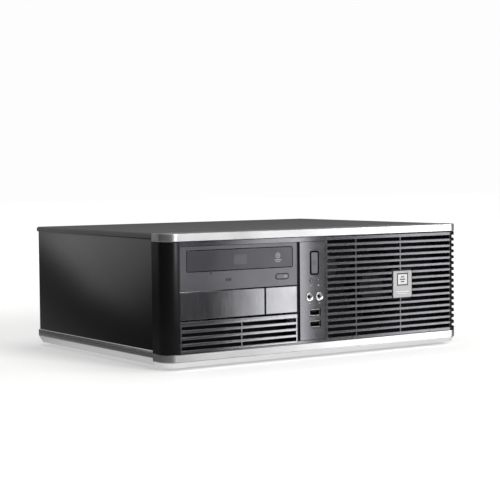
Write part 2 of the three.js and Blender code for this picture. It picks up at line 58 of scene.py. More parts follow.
# The working frame, in millimetres: X from the left end of the bezel, Y from the
# flat of the front, Z from the underside of the base skin.
OX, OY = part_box("trim_top")[0].x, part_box("trim_top")[0].y
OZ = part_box("base_skin")[0].z
W = (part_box("trim_top")[1].x - OX) * 1000
H = (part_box("trim_top")[1].z - OZ) * 1000


def R(x, y, z):
    """working millimetres to the row frame in metres"""
    return Vector((OX + x / 1000, OY + y / 1000, OZ + z / 1000))


def mmbox(node):
    lo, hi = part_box(node)
    f = lambda v: ((v.x - OX) * 1000, (v.y - OY) * 1000, (v.z - OZ) * 1000)
    a, b = f(lo), f(hi)
    return a[0], b[0], a[1], b[1], a[2], b[2]


# ------------------------------------------------------------------ materials
class Mat:
    """A node material written down briefly."""

    def __init__(self, name):
        self.m = bpy.data.materials.new(name)
        self.m.use_nodes = True
        self.t = self.m.node_tree
        self.t.nodes.clear()
        self.out = self.t.nodes.new("ShaderNodeOutputMaterial")
        self.b = self.t.nodes.new("ShaderNodeBsdfPrincipled")
        self.link(self.b.outputs[0], self.out.inputs[0])
        self.tc = self.t.nodes.new("ShaderNodeTexCoord")
        self.obj = self.tc.outputs["Object"]

    def link(self, a, b):
        self.t.links.new(a, b)

    def set(self, **k):
        for key, v in k.items():
            s = self.b.inputs[key.replace("_", " ")]
            if hasattr(v, "is_output"):
                self.link(v, s)
            else:
                s.default_value = (*v, 1) if isinstance(v, tuple) and len(v) == 3 else v
        return self

    def node(self, kind, **k):
        n = self.t.nodes.new(kind)
        for key, v in k.items():
            setattr(n, key, v)
        return n

    def scaled(self, sx, sy, sz):
        n = self.node("ShaderNodeMapping")
        n.inputs["Scale"].default_value = (sx, sy, sz)
        self.link(self.obj, n.inputs["Vector"])
        return n.outputs[0]

    def noise(self, scale, detail=3.0, rough=0.55, vec=None, distortion=0.0):
        n = self.node("ShaderNodeTexNoise")
        n.inputs["Scale"].default_value = scale
        n.inputs["Detail"].default_value = detail
        n.inputs["Roughness"].default_value = rough
        n.inputs["Distortion"].default_value = distortion
        self.link(vec or self.obj, n.inputs["Vector"])
        return n.outputs["Fac"]

    def ramp(self, fac, *stops):
        n = self.node("ShaderNodeValToRGB")
        e = n.color_ramp.elements
        while len(e) < len(stops):
            e.new(0.5)
        for el, (p, c) in zip(e, stops):
            el.position = p
            el.color = (c, c, c, 1) if not isinstance(c, tuple) else (*c, 1)
        self.link(fac, n.inputs[0])
        return n.outputs[0]

    def span(self, fac, a, b, lo=0.0, hi=1.0):
        n = self.node("ShaderNodeMapRange")
        for s, v in zip(n.inputs[1:5], (a, b, lo, hi)):
            s.default_value = v
        self.link(fac, n.inputs[0])
        return n.outputs[0]

    def math(self, op, a, b=0.0):
        n = self.node("ShaderNodeMath", operation=op)
        for s, v in zip(n.inputs, (a, b)):
            if hasattr(v, "is_output"):
                self.link(v, s)
            else:
                s.default_value = v
        return n.outputs[0]

    def mix(self, fac, a, b, blend="MIX"):
        n = self.node("ShaderNodeMix", data_type="RGBA", blend_type=blend)
        for s, v in zip((n.inputs[0], n.inputs[6], n.inputs[7]), (fac, a, b)):
            if hasattr(v, "is_output"):
                self.link(v, s)
            elif isinstance(v, tuple):
                s.default_value = (*v, 1)
            else:
                s.default_value = v
        return n.outputs[2]

    def bump(self, height, strength=0.2, distance=0.0002, normal=None):
        n = self.node("ShaderNodeBump")
        n.inputs["Strength"].default_value = strength
        n.inputs["Distance"].default_value = distance
        self.link(height, n.inputs["Height"])
        if normal is not None:
            self.link(normal, n.inputs["Normal"])
        self.link(n.outputs[0], self.b.inputs["Normal"])
        return n.outputs[0]

    def edge_wear(self):
        """0 on flats, towards 1 on worn convex edges"""
        g = self.node("ShaderNodeNewGeometry")
        return self.ramp(g.outputs["Pointiness"], (0.50, 0.0), (0.58, 1.0))


def col(m, base, vary=0.10, scale=60.0):
    """a base colour with slow tonal variation"""
    lo = tuple(c * (1 - vary) for c in base)
    hi = tuple(min(1, c * (1 + vary)) for c in base)
    return m.ramp(m.noise(scale, 4), (0.3, lo), (0.7, hi))


def front_lean(m, stops):
    """A shading tilt only: the front's mesh is flat. The stops, (X in mm, lean in
    degrees), were tuned so that the front's gradient looks right."""
    sep = m.node("ShaderNodeSeparateXYZ")
    m.link(m.obj, sep.inputs[0])
    x0, x1 = OX, OX + W / 1000
    f = m.span(sep.outputs[0], x0, x1)
    top = 4.5
    r = m.node("ShaderNodeValToRGB")
    r.color_ramp.interpolation = "B_SPLINE"
    e = r.color_ramp.elements
    while len(e) < len(stops):
        e.new(0.5)
    for el, (x, d) in zip(e, stops):
        el.position = x / W
        v = (d + top) / (2 * top)
        el.color = (v, v, v, 1)
    m.link(f, r.inputs[0])
    lean = m.span(r.outputs[0], 0, 1, -math.tan(math.radians(top)), math.tan(math.radians(top)))
    g = m.node("ShaderNodeNewGeometry")
    sn = m.node("ShaderNodeSeparateXYZ")
    m.link(g.outputs["Normal"], sn.inputs[0])
    face = m.math("MAXIMUM", m.math("MULTIPLY", sn.outputs[1], -1.0), 0.0)
    c = m.node("ShaderNodeCombineXYZ")
    m.link(m.math("MULTIPLY", lean, face), c.inputs[0])
    add = m.node("ShaderNodeVectorMath", operation="ADD")
    m.link(g.outputs["Normal"], add.inputs[0])
    m.link(c.outputs[0], add.inputs[1])
    nrm = m.node("ShaderNodeVectorMath", operation="NORMALIZE")
    m.link(add.outputs[0], nrm.inputs[0])
    return nrm.outputs[0]


LEAN = [(17, -2.6), (40, -0.9), (65, 1.9), (90, 3.0), (115, 3.6), (140, 3.9), (166, 4.0), (176, 2.8), (190, -0.6), (206, -2.4), (245, -2.0), (300, -0.5), (350, 1.6), (385, 0.8)]


def gunmetal(name, base=(0.105, 0.105, 0.118), metallic=0.55, rough=0.27, streak=(0.15, 1, 1), lean=True, grain=0.25):
    m = Mat(name)
    v = m.scaled(*(s * 900 for s in streak))
    fine = m.noise(1.0, 2, vec=v)
    m.set(Base_Color=col(m, base, 0.07, 45), Metallic=metallic,
          Roughness=m.span(m.math("ADD", m.math("MULTIPLY", fine, 0.7), m.math("MULTIPLY", m.noise(25, 3), 0.3)), 0.3, 0.7, rough - 0.04, rough + 0.05))
    m.bump(fine, grain, 0.00004, front_lean(m, LEAN) if lean else None)
    return m.m


def paint(name, base, metallic=0.0, rough=0.35, peel=0.12, peel_scale=900.0, vary=0.04, coat=0.0, spec=0.5, patchy=1.0):
    m = Mat(name)
    m.set(Base_Color=col(m, base, vary, 30), Metallic=metallic,
          Roughness=m.span(m.noise(18, 4), 0.3, 0.7, rough - 0.03 * patchy, rough + 0.04 * patchy), Specular_IOR_Level=spec)
    if coat:
        m.set(Coat_Weight=coat, Coat_Roughness=0.12)
    m.bump(m.noise(peel_scale, 2), peel, 0.00005)
    return m.m


def plastic(name, base, rough=0.45, grain=0.25, scale=1800.0, wear=True, spec=0.5):
    m = Mat(name)
    c = col(m, base, 0.12, 50)
    if wear:
        c = m.mix(m.math("MULTIPLY", m.edge_wear(), 0.35), c, tuple(min(1, b * 2.2 + 0.02) for b in base))
    m.set(Base_Color=c, Specular_IOR_Level=spec, Roughness=m.span(m.noise(30, 4), 0.3, 0.7, rough - 0.05, rough + 0.06))
    v = m.node("ShaderNodeTexVoronoi")
    v.inputs["Scale"].default_value = scale
    m.link(m.obj, v.inputs["Vector"])
    m.bump(v.outputs["Distance"], grain, 0.00005)
    return m.m


def zinc(name, base=(0.56, 0.57, 0.58), rough=0.34, streak=(60, 900, 900), spangle=0.5):
    m = Mat(name)
    v = m.node("ShaderNodeTexVoronoi")
    v.inputs["Scale"].default_value = 110
    m.link(m.obj, v.inputs["Vector"])
    tone = m.node("ShaderNodeRGBToBW")
    m.link(v.outputs["Color"], tone.inputs[0])
    lo, hi = tuple(c * (1 - 0.10 * spangle) for c in base), tuple(c * (1 + 0.10 * spangle) for c in base)
    c = m.ramp(tone.outputs[0], (0.2, lo), (0.8, hi))
    c = m.mix(m.ramp(m.noise(9, 5), (0.45, 0.0), (0.75, 0.35)), c, tuple(b * 0.75 for b in base))
    fine = m.noise(1.0, 2, vec=m.scaled(*streak))
    m.set(Base_Color=c, Metallic=0.9, Roughness=m.span(m.math("ADD", m.math("MULTIPLY", fine, 0.5), m.math("MULTIPLY", tone.outputs[0], 0.5)), 0.2, 0.8, rough - 0.06, rough + 0.1))
    m.bump(fine, 0.12, 0.00003)
    return m.m


def chrome(name, base=(0.72, 0.72, 0.73), rough=0.16):
    m = Mat(name)
    m.set(Base_Color=col(m, base, 0.06, 200), Metallic=1.0, Roughness=m.span(m.noise(300, 3), 0.3, 0.7, rough - 0.04, rough + 0.06))
    m.bump(m.noise(600, 2), 0.08, 0.00003)
    return m.m


M = {}
M["gun"] = gunmetal("gunmetal_front", base=(0.089, 0.088, 0.095), metallic=0.92, rough=0.22)
M["gun_drive"] = gunmetal("gunmetal_drive", base=(0.066, 0.066, 0.073), metallic=0.9, rough=0.34, streak=(1, 1, 1), grain=0.4)
M["gun_door"] = gunmetal("gunmetal_door", base=(0.041, 0.041, 0.045), metallic=0.9, rough=0.33, streak=(1, 1, 1), grain=0.3)
M["gun_brushed"] = gunmetal("gunmetal_brushed", base=(0.138, 0.138, 0.146), metallic=0.95, rough=0.19, streak=(1, 1, 0.06), grain=0.3)
M["cap"] = plastic("end_cap_black", (0.004, 0.004, 0.0043), rough=0.34, grain=0.10, wear=False, spec=0.13)
M["gun_slat"] = gunmetal("gunmetal_slat", base=(0.078, 0.078, 0.084), metallic=0.92, rough=0.26)
M["silver"] = paint("silver_band", (0.44, 0.44, 0.445), metallic=0.93, rough=0.34, vary=0.02, peel=0.06)
M["base"] = paint("base_paint", (0.72, 0.72, 0.715), metallic=0.95, rough=0.21, vary=0.02, peel=0.05, patchy=0.4)
# a much lighter copy of the band's silver for the bottom chamfer and underside: a painted reflection of the bright
# floor
M["silver_painted_reflection"] = paint("silver_bevel_painted_reflection", (0.90, 0.90, 0.90), metallic=0.85, rough=0.30, vary=0.02, peel=0.06)
M["cover"] = paint("cover_paint", (0.085, 0.085, 0.0845), metallic=0.2, rough=0.58, peel=0.08, vary=0.03, patchy=0.5)
M["side"] = paint("case_side_black", (0.0036, 0.0038, 0.0038), metallic=0.0, rough=0.30, peel=0.06, vary=0.05, spec=0.42, patchy=0.3)
# near black: used for print and black inner parts, and as painted shade in holes, recesses, gaps and behind the
# grille's slots
M["void"] = plastic("black_inner_and_painted_shade", (0.003, 0.003, 0.003), rough=0.75, wear=False, spec=0.12)
M["fan"] = plastic("fan_black", (0.010, 0.010, 0.0105), rough=0.55, grain=0.15, wear=False, spec=0.22)
M["black"] = plastic("black_plastic", (0.016, 0.016, 0.017), rough=0.45)
M["zinc"] = zinc("zinc_sheet")
M["chrome"] = chrome("nickel_plate")
M["jack"] = chrome("jack_ring", (0.50, 0.50, 0.50), 0.26)
M["shell"] = chrome("socket_shell", (0.28, 0.28, 0.285), 0.28)
M["badge"] = paint("badge_satin", (0.25, 0.25, 0.248), metallic=0.4, rough=0.38, vary=0.03, peel=0.05)
M["mark"] = paint("mark_grey", (0.30, 0.30, 0.305), rough=0.5, vary=0.02)
M["mark_dark"] = paint("mark_dark", (0.012, 0.012, 0.013), rough=0.6, vary=0.02)
M["mark_white"] = paint("mark_white", (0.46, 0.46, 0.46), rough=0.4, vary=0.02)
M["rubber"] = plastic("rubber_foot", (0.012, 0.012, 0.012), rough=0.75, grain=0.5, wear=False)


# ---------------------------------------------------------------- mesh helpers
def new_obj(name, me):
    o = bpy.data.objects.new(name, me)
    bpy.context.scene.collection.objects.link(o)
    return o


def bm_to_mesh(bm, name):
    me = bpy.data.meshes.new(name)
    bmesh.ops.recalc_face_normals(bm, faces=bm.faces)
    bm.to_mesh(me)
    bm.free()
    return me


def bm_box(bm, x0, x1, y0, y1, z0, z1, mat=0):
    v = [bm.verts.new(R(x, y, z)) for x in (x0, x1) for y in (y0, y1) for z in (z0, z1)]
    for f in ((0, 1, 3, 2), (4, 6, 7, 5), (0, 4, 5, 1), (2, 3, 7, 6), (0, 2, 6, 4), (1, 5, 7, 3)):
        bm.faces.new([v[i] for i in f]).material_index = mat


def bm_prism(bm, pts, axis, a, b, mat=0):
    """pts in the plane across axis: (x, y) for Z, (x, z) for Y, (y, z) for X"""
    put = {"Z": lambda p, t: R(p[0], p[1], t), "Y": lambda p, t: R(p[0], t, p[1]), "X": lambda p, t: R(t, p[0], p[1])}[axis]
    lo = [bm.verts.new(put(p, a)) for p in pts]
    hi = [bm.verts.new(put(p, b)) for p in pts]
    n = len(pts)
    fs = [bm.faces.new(lo[::-1]), bm.faces.new(hi)]
    for i in range(n):
        fs.append(bm.faces.new([lo[i], lo[(i + 1) % n], hi[(i + 1) % n], hi[i]]))
    for f in fs:
        f.material_index = mat


def circle_pts(cx, cz, r, n=32, ph=0.0):
    return [(cx + r * math.cos(ph + 2 * math.pi * i / n), cz + r * math.sin(ph + 2 * math.pi * i / n)) for i in range(n)]


def rr_pts(x0, x1, z0, z1, r, n=6):
    p = []
    for cx, cz, a in ((x1 - r, z0 + r, -90), (x1 - r, z1 - r, 0), (x0 + r, z1 - r, 90), (x0 + r, z0 + r, 180)):
        for i in range(n + 1):
            t = math.radians(a + 90 * i / n)
            p.append((cx + r * math.cos(t), cz + r * math.sin(t)))
    return p


def tmp(build):
    bm = bmesh.new()
    build(bm)
    o = new_obj("tmp", bm_to_mesh(bm, "tmp"))
    return o


def boolean(o, cutter, op="DIFFERENCE"):
    m = o.modifiers.new("b", "BOOLEAN")
    m.object = cutter
    m.operation = op
    m.solver = "EXACT"
    m.use_self = True
    dg = bpy.context.evaluated_depsgraph_get()
    me = bpy.data.meshes.new_from_object(o.evaluated_get(dg))
    old = o.data
    o.modifiers.clear()
    o.data = me
    bpy.data.meshes.remove(old)
    bpy.data.objects.remove(cutter)
    return o


def finish(o, name, body, mats, slot=None, replaces=(), bevel=0.35, seg=3, angle=32, weld=True):
    o.name = name
    o.data.name = name
    for m in (mats if isinstance(mats, (list, tuple)) else [mats]):
        o.data.materials.append(M[m] if isinstance(m, str) else m)
    for p in o.data.polygons:
        p.use_smooth = True
    if not bevel:
        bm = bmesh.new()
        bm.from_mesh(o.data)
        if weld:
            bmesh.ops.remove_doubles(bm, verts=bm.verts, dist=1e-6)
        for e in bm.edges:
            e.smooth = len(e.link_faces) == 2 and e.calc_face_angle(0) < math.radians(angle)
        bm.to_mesh(o.data)
        bm.free()
    elif weld:
        w = o.modifiers.new("weld", "WELD")
        w.merge_threshold = 1e-6
    if bevel:
        b = o.modifiers.new("bevel", "BEVEL")
        b.width = bevel / 1000
        b.segments = seg
        b.limit_method = "ANGLE"
        b.angle_limit = math.radians(angle)
        b.harden_normals = True
        b.miter_outer = "MITER_ARC"
        b.use_clamp_overlap = True
    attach(o, body)
    if replaces:
        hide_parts(*([replaces] if isinstance(replaces, str) else replaces))
    return o


def piece(name, body, mats, build, **k):
    return finish(tmp(build), name, body, mats, **k)


def revolve(bm, prof, centre, axis="Y", n=40, mat=0):
    """prof is (r, t) along the axis, closed round"""
    cx, cy, cz = centre
    rings = []
    for r, t in prof:
        ring = []
        for i in range(n):
            a = 2 * math.pi * i / n
            u, v = r * math.cos(a), r * math.sin(a)
            p = {"Y": (cx + u, cy + t, cz + v), "Z": (cx + u, cy + v, cz + t), "X": (cx + t, cy + u, cz + v)}[axis]
            ring.append(bm.verts.new(R(*p)))
        rings.append(ring)
    k = len(rings)
    for j in range(k):
        a, b = rings[j], rings[(j + 1) % k]
        for i in range(n):
            bm.faces.new([a[i], a[(i + 1) % n], b[(i + 1) % n], b[i]]).material_index = mat


# outline of the bezel in plan: stations with an outward direction
RAD = 15.0
DEP = mmbox("bezel_frame")[3]


def stations(seg=20, x0=None, x1=None):
    s = [((0, DEP), (-1, 0))]
    for i in range(seg + 1):
        t = math.pi + (i / seg) * math.pi / 2
        s.append(((RAD + RAD * math.cos(t), RAD + RAD * math.sin(t)), (math.cos(t), math.sin(t))))
    for i in range(seg + 1):
        t = 1.5 * math.pi + (i / seg) * math.pi / 2
        s.append(((W - RAD + RAD * math.cos(t), RAD + RAD * math.sin(t)), (math.cos(t), math.sin(t))))
    s.append(((W, DEP), (1, 0)))
    return s


def plan_pts(inset, back, seg=20):
    p = [(x - nx * inset, y - ny * inset) for (x, y), (nx, ny) in stations(seg)]
    p[0] = (inset, back)
    p[-1] = (W - inset, back)
    return p


def sweep(bm, st, prof, mats=None):
    """prof: closed list of (inset, z); st: stations. mats(i) gives the material of span i."""
    rows = [[bm.verts.new(R(x - nx * d, y - ny * d, z)) for d, z in prof] for (x, y), (nx, ny) in st]
    n = len(prof)
    for i in range(len(rows) - 1):
        for j in range(n):
            f = bm.faces.new([rows[i][j], rows[i][(j + 1) % n], rows[i + 1][(j + 1) % n], rows[i + 1][j]])
            f.material_index = mats(i) if mats else 0
    bm.faces.new(rows[0][::-1]).material_index = mats(0) if mats else 0
    bm.faces.new(rows[-1]).material_index = mats(len(rows) - 2) if mats else 0


def bar_prof(d0, d1, z0, z1, r, n=3):
    """a bar's cross-section with rounded corners, in (inset, z)"""
    return rr_pts(d0, d1, z0, z1, r, n)


# ------------------------------------------------------- camera, lights, stage
def make_camera():
    az, el, roll = math.radians(-34.26), math.radians(3.02), math.radians(-0.55)
    fw = Vector((-math.sin(az) * math.cos(el), math.cos(az) * math.cos(el), -math.sin(el)))
    rt = fw.cross(Vector((0, 0, 1))).normalized()
    up = rt.cross(fw)
    rt2 = math.cos(roll) * rt + math.sin(roll) * up
    up2 = -math.sin(roll) * rt + math.cos(roll) * up
    cam = bpy.data.cameras.new("camera")
    cam.sensor_width = 36
    cam.lens = 1413.35 / 500 * 36
    cam.clip_end = 60
    o = bpy.data.objects.new("camera", cam)
    bpy.context.scene.collection.objects.link(o)
    m = Matrix((rt2, up2, -fw)).transposed().to_4x4()
    m.translation = R(-732.64, -1227.82, 196.71)
    o.matrix_world = m
    bpy.context.scene.camera = o


make_camera()


def area(name, loc, target, size, power, colour=(1, 1, 1)):
    d = bpy.data.lights.new(name, "AREA")
    d.shape = "RECTANGLE"
    d.size, d.size_y = size
    d.energy = power
    d.color = colour
    o = bpy.data.objects.new(name, d)
    bpy.context.scene.collection.objects.link(o)
    o.location = loc
    o.rotation_mode = "QUATERNION"
    o.rotation_quaternion = (Vector(target) - Vector(loc)).to_track_quat("-Z", "Y")
    o.visible_camera = False
    return o


def from_front(azimuth, distance, z):
    """a place seen from the object's middle, azimuth right of straight ahead"""
    t = math.radians(azimuth)
    return (math.sin(t) * distance, -math.cos(t) * distance, z)


area("key", from_front(8, 2.6, 0.75), (0, -0.15, 0.05), (0.8, 1.0), 52)
area("soft_right", from_front(47.5, 2.8, 0.12), (0, -0.15, 0.07), (0.9, 2.4), 46)
area("top", (0.3, 0.0, 2.6), (0, 0, 0), (2.4, 2.4), 36)
area("back_left", (-0.37, 1.27, 0.425), (0.23, 0.25, 0.115), (1.3, 0.70), 2.1)

world = bpy.data.worlds.new("studio")
bpy.context.scene.world = world
world.use_nodes = True
wt = world.node_tree
wt.nodes.clear()
wout = wt.nodes.new("ShaderNodeOutputWorld")
wmix = wt.nodes.new("ShaderNodeMixShader")
wpath = wt.nodes.new("ShaderNodeLightPath")
pale, dim = wt.nodes.new("ShaderNodeBackground"), wt.nodes.new("ShaderNodeBackground")
pale.inputs[0].default_value = (0.985, 0.985, 0.985, 1)
wtc = wt.nodes.new("ShaderNodeTexCoord")
wsep = wt.nodes.new("ShaderNodeSeparateXYZ")
wmap = wt.nodes.new("ShaderNodeMapRange")
wramp = wt.nodes.new("ShaderNodeValToRGB")
wt.links.new(wtc.outputs["Generated"], wsep.inputs[0])
wt.links.new(wsep.outputs[2], wmap.inputs[0])
wmap.inputs[1].default_value = -1
we = wramp.color_ramp.elements
for _ in range(3):
    we.new(0.5)
# straight down: a bright floor; the horizon: dim; overhead: a pale ceiling
for el, (pos, v) in zip(we, ((0.0, 0.75), (0.28, 0.60), (0.44, 0.055), (0.56, 0.07), (1.0, 0.36))):
    el.position = pos
    el.color = (v, v, v * 1.01, 1)
wt.links.new(wmap.outputs[0], wramp.inputs[0])
wt.links.new(wramp.outputs[0], dim.inputs[0])
wt.links.new(wpath.outputs["Is Camera Ray"], wmix.inputs[0])
wt.links.new(dim.outputs[0], wmix.inputs[1])
wt.links.new(pale.outputs[0], wmix.inputs[2])
wt.links.new(wmix.outputs[0], wout.inputs[0])
bpy.context.scene.view_settings.view_transform = "Standard"


def stage():
    m = Mat("studio_floor")
    m.set(Base_Color=col(m, (0.80, 0.80, 0.79), 0.01, 3), Roughness=m.span(m.noise(6, 3), 0.3, 0.7, 0.62, 0.72))
    m.bump(m.noise(220, 2), 0.05, 0.0002)
    # the floor glows: its emission rises from 0.30 near the middle to 0.80 far out, painted light that keeps the far
    # floor white
    g = m.node("ShaderNodeVectorMath", operation="LENGTH")
    m.link(m.obj, g.inputs[0])
    m.set(Emission_Color=(1.0, 1.0, 1.0), Emission_Strength=m.span(g.outputs["Value"], 0.35, 2.2, 0.30, 0.80))
    bm = bmesh.new()
    s = 9.0
    vs = [bm.verts.new((x, y, CAD_LO.z)) for x, y in ((-s, -s), (s, -s), (s, s), (-s, s))]
    bm.faces.new(vs)
    me = bpy.data.meshes.new("studio_floor")
    bm.to_mesh(me)
    bm.free()
    o = new_obj("studio_floor", me)
    me.materials.append(m.m)
    o.visible_glossy = False


stage()

# ------------------------------------------------------------------ the bezel
TOP0 = mmbox("trim_top")[4]
BOT1 = mmbox("trim_bottom")[5]
FRZ0, FRZ1 = mmbox("bezel_frame")[4:6]


def trim_top(bm):
    bm_prism(bm, plan_pts(0, DEP), "Z", TOP0, H)


o = boolean(tmp(trim_top), tmp(lambda bm: bm_prism(bm, plan_pts(3, 60), "Z", TOP0 - 5, H - 2.6)))
finish(o, "top_band", "case", "silver", slot="silver_trim", replaces="trim_top", bevel=0.7, seg=3, angle=40)


def trim_bottom(bm):
    st = stations(20)
    z1, zc = BOT1, 5.9
    prof = [(0, zc + 0.5), (0, z1), (2.6, z1), (2.6, 8.5), (5.6, 2.4), (5.6, 0.0 + 2.4), (8, 2.4), (8, 0), (4.2, 0), (0.55, zc - 0.1), (0.55, zc + 0.5)]
    prof = [(0, zc + 0.5), (0, z1), (2.6, z1), (2.6, 9), (6.5, 2.4), (9, 2.4), (9, 0), (4.2, 0), (0.6, zc - 0.2), (0.6, zc + 0.5)]
    rows = [[bm.verts.new(R(x - nx * d, y - ny * d, z)) for d, z in prof] for (x, y), (nx, ny) in st]
    n = len(prof)
    for i in range(len(rows) - 1):
        for j in range(n):
            f = bm.faces.new([rows[i][j], rows[i][(j + 1) % n], rows[i + 1][(j + 1) % n], rows[i + 1][j]])
            # the chamfer and underside faces take the lighter silver, a painted reflection of the floor; the band above
            # keeps the plain silver
            f.material_index = 1 if j in (6, 7) else 0
    bm.faces.new(rows[0][::-1])
    bm.faces.new(rows[-1])
    bm_prism(bm, plan_pts(8.8, DEP), "Z", 0.2, 2.2)


piece("bottom_band", "case", ["silver", "silver_painted_reflection"], trim_bottom, slot="silver_trim", replaces="trim_bottom", bevel=0.35, seg=3, angle=25)

BX0, BX1 = mmbox("drive_bezel")[0] - 0.2, mmbox("drive_bezel")[1] + 0.4
SX0, SX1 = mmbox("control_panel")[0] - 0.3, mmbox("control_panel")[1] + 0.3
GX0 = mmbox("front_grille")[0]
BZ0, BZ1 = mmbox("vent_panel")[4] - 0.2, mmbox("drive_bezel")[5] + 0.3


CAPX = 16.3  # where the black end cap stops and the metallic front begins


def frame_front(bm):
    bm_box(bm, CAPX, GX0 - 0.3, 0, 2.6, FRZ0, FRZ1)


def frame_cut(bm):
    bm_box(bm, BX0, BX1 - 0.1, -5, 9, BZ0, BZ1)
    bm_box(bm, SX0, SX1, -5, 9, BZ0 + 2, BZ1)
    bm_box(bm, BX1 - 0.2, SX0 + 0.1, -5, 1.5, BZ0 + 2, BZ1)


o = boolean(tmp(frame_front), tmp(frame_cut))
for p in o.data.polygons:
    x = (p.center.x - OX) * 1000
    p.material_index = 1 if BX1 - 0.4 < x < SX0 + 0.2 and (p.center.z - OZ) * 1000 < BZ1 else 0
finish(o, "bezel_frame_front", "case", ["gun", "cap"], slot="dark_bezel", bevel=0.3, seg=2, angle=40)


def end_cap(bm):
    st = [q for q in stations(20) if q[0][0] <= RAD + 0.01] + [((CAPX - 0.35, 0), (0, -1))]
    st[0] = ((0, DEP), (-1, 0))
    sweep(bm, st, bar_prof(0, 2.6, FRZ0, FRZ1, 0.4, 3))
    bm_box(bm, 2.4, 7, DEP - 1.6, DEP, FRZ0, FRZ1)


piece("end_cap_left", "case", "cap", end_cap, slot="dark_bezel", replaces="bezel_frame", bevel=0, weld=False, angle=32)


def slat_prof(z0, z1, top=1.25, low=0.3, d=2.6, n=5):
    """a slat's cross-section as (inset, z): its upper front edge is rounded well back"""
    q = [(low * (1 - math.sin(t)), z0 + low * (1 - math.cos(t))) for t in (0, math.pi / 4, math.pi / 2)]
    q += [(top * (1 - math.cos(k / n * math.pi / 2)), z1 - top * (1 - math.sin(k / n * math.pi / 2))) for k in range(n + 1)]
    return q + [(d, z1), (d, z0)]


def grille(bm):
    st = stations(20)
    right = [s for s in st if s[0][0] >= W - RAD - 0.01]
    ribs = [245.8, 310.0, 385.0]
    bx0, bx1, _, _, bz0, bz1 = mmbox("badge")
    pitch, sh = 6.9, 3.5
    front = [((GX0, 0), (0, -1)), ((W - RAD, 0), (0, -1))]

    def run(z0, z1, a=GX0 + 0.9, b=None, wrap=True):
        s = [((a, 0), (0, -1))]
        if b is None:
            s += [((W - RAD, 0), (0, -1))] + [q for q in right if q[0][0] > W - RAD + 0.001]
            s[-1] = ((W, DEP - 1), (1, 0))
        else:
            s += [((b, 0), (0, -1))]
        k = lambda i: 1 if (b is None and i >= 1) else 0
        sweep(bm, s, slat_prof(z0, z1), k)

    run(FRZ0 + 0.05, 20 - sh / 2, a=GX0)
    run(20 + 15 * pitch + sh / 2, FRZ1 - 0.05, a=GX0)
    for k in range(15):
        z0, z1 = 20 + k * pitch + sh / 2, 20 + (k + 1) * pitch - sh / 2
        if z1 > bz0 - 0.3 and z0 < bz1 + 0.3:
            run(z0, z1, b=bx0 - 1.2)
            run(z0, z1, a=bx1 + 1.2)
        else:
            run(z0, z1)
    # a thin near-black sheet behind the slots of the corner and the right end: painted shade, so that these slots read
    # dark
    ln = [((384.7, 0), (0, -1)), ((W - RAD, 0), (0, -1))] + [q for q in right if q[0][0] > W - RAD + 0.001]
    ln[-1] = ((W, 24.5), (1, 0))
    sweep(bm, ln, bar_prof(2.55, 3.4, FRZ0 + 0.3, FRZ1 - 0.3, 0.1, 1), lambda i: 2)
    # posts and ribs
    bm_box(bm, GX0, GX0 + 1.4, 0.15, 2.6, FRZ0 + 0.5, FRZ1 - 0.5)
    for x, w in ((ribs[0], 0.6), (ribs[1], 0.6)):
        if bx0 < x < bx1:
            bm_box(bm, x - w, x + w, 0.05, 2.5, FRZ0 + 2, bz0 - 0.3)
            bm_box(bm, x - w, x + w, 0.05, 2.5, bz1 + 0.3, FRZ1 - 2)
        else:
            bm_box(bm, x - w, x + w, 0.05, 2.5, FRZ0 + 2, FRZ1 - 2)
    bm_box(bm, ribs[2] - 0.5, ribs[2] + 0.5, 0.1, 2.5, FRZ0 + 2, FRZ1 - 2, 1)
    bm_box(bm, W - 2.5, W - 0.05, 22, DEP, FRZ0 + 0.05, FRZ1 - 0.05, 1)
    bm_box(bm, W - 7, W - 2.4, DEP - 1.6, DEP, FRZ0 + 0.05, FRZ1 - 0.05, 1)
    # the seat behind the badge
    bm_box(bm, bx0 - 1.2, bx1 + 1.2, 1.5, 2.5, bz0 - 1.6, bz1 + 1.6, 1)
    bm_box(bm, ribs[1] - 1.2, ribs[1] + 1.2, 1.5, 2.5, bz0 - 4, bz1 + 4, 1)


piece("louvre_grille", "case", ["gun_slat", "cap", "void"], grille, slot="dark_bezel", replaces="front_grille", bevel=0, weld=False)


def vents(bm):
    x0, x1, y0, y1, z0, z1 = mmbox("vent_panel")
    edges = [z0] + [20 + 6.9 * k + d for k in range(4) for d in (-1.75, 1.75)] + [z1]
    for a, b in zip(edges[::2], edges[1::2]):
        bm_prism(bm, [(y0 + d, z) for d, z in slat_prof(a, b, 1.1 if b < z1 else 0.5, 0.3, y1 - y0)], "X", x0, x1)
    for a, b in ((x0, 18.6), (91.6, 93.0), (163.2, x1)):
        bm_box(bm, a, b, y0 + 0.12, y1 - 0.05, z0 + 0.2, z1 - 0.2)


piece("vent_panel_left", "case", "gun_brushed", vents, slot="dark_bezel", replaces="vent_panel", bevel=0, weld=False, angle=32)


def plate(node, mat, name, bevel=0.5, body="case", slot="dark_bezel", extra=None):
    x0, x1, y0, y1, z0, z1 = mmbox(node)
    piece(name, body, mat, lambda bm: (bm_box(bm, x0, x1, y0, y1, z0, z1), extra and extra(bm)), slot=slot, replaces=node, bevel=bevel, seg=3)


plate("bay_blank", "gun_brushed", "bay_blank_front", 0.55)
plate("bay_filler", "gun_brushed", "bay_filler_front", 0.55)


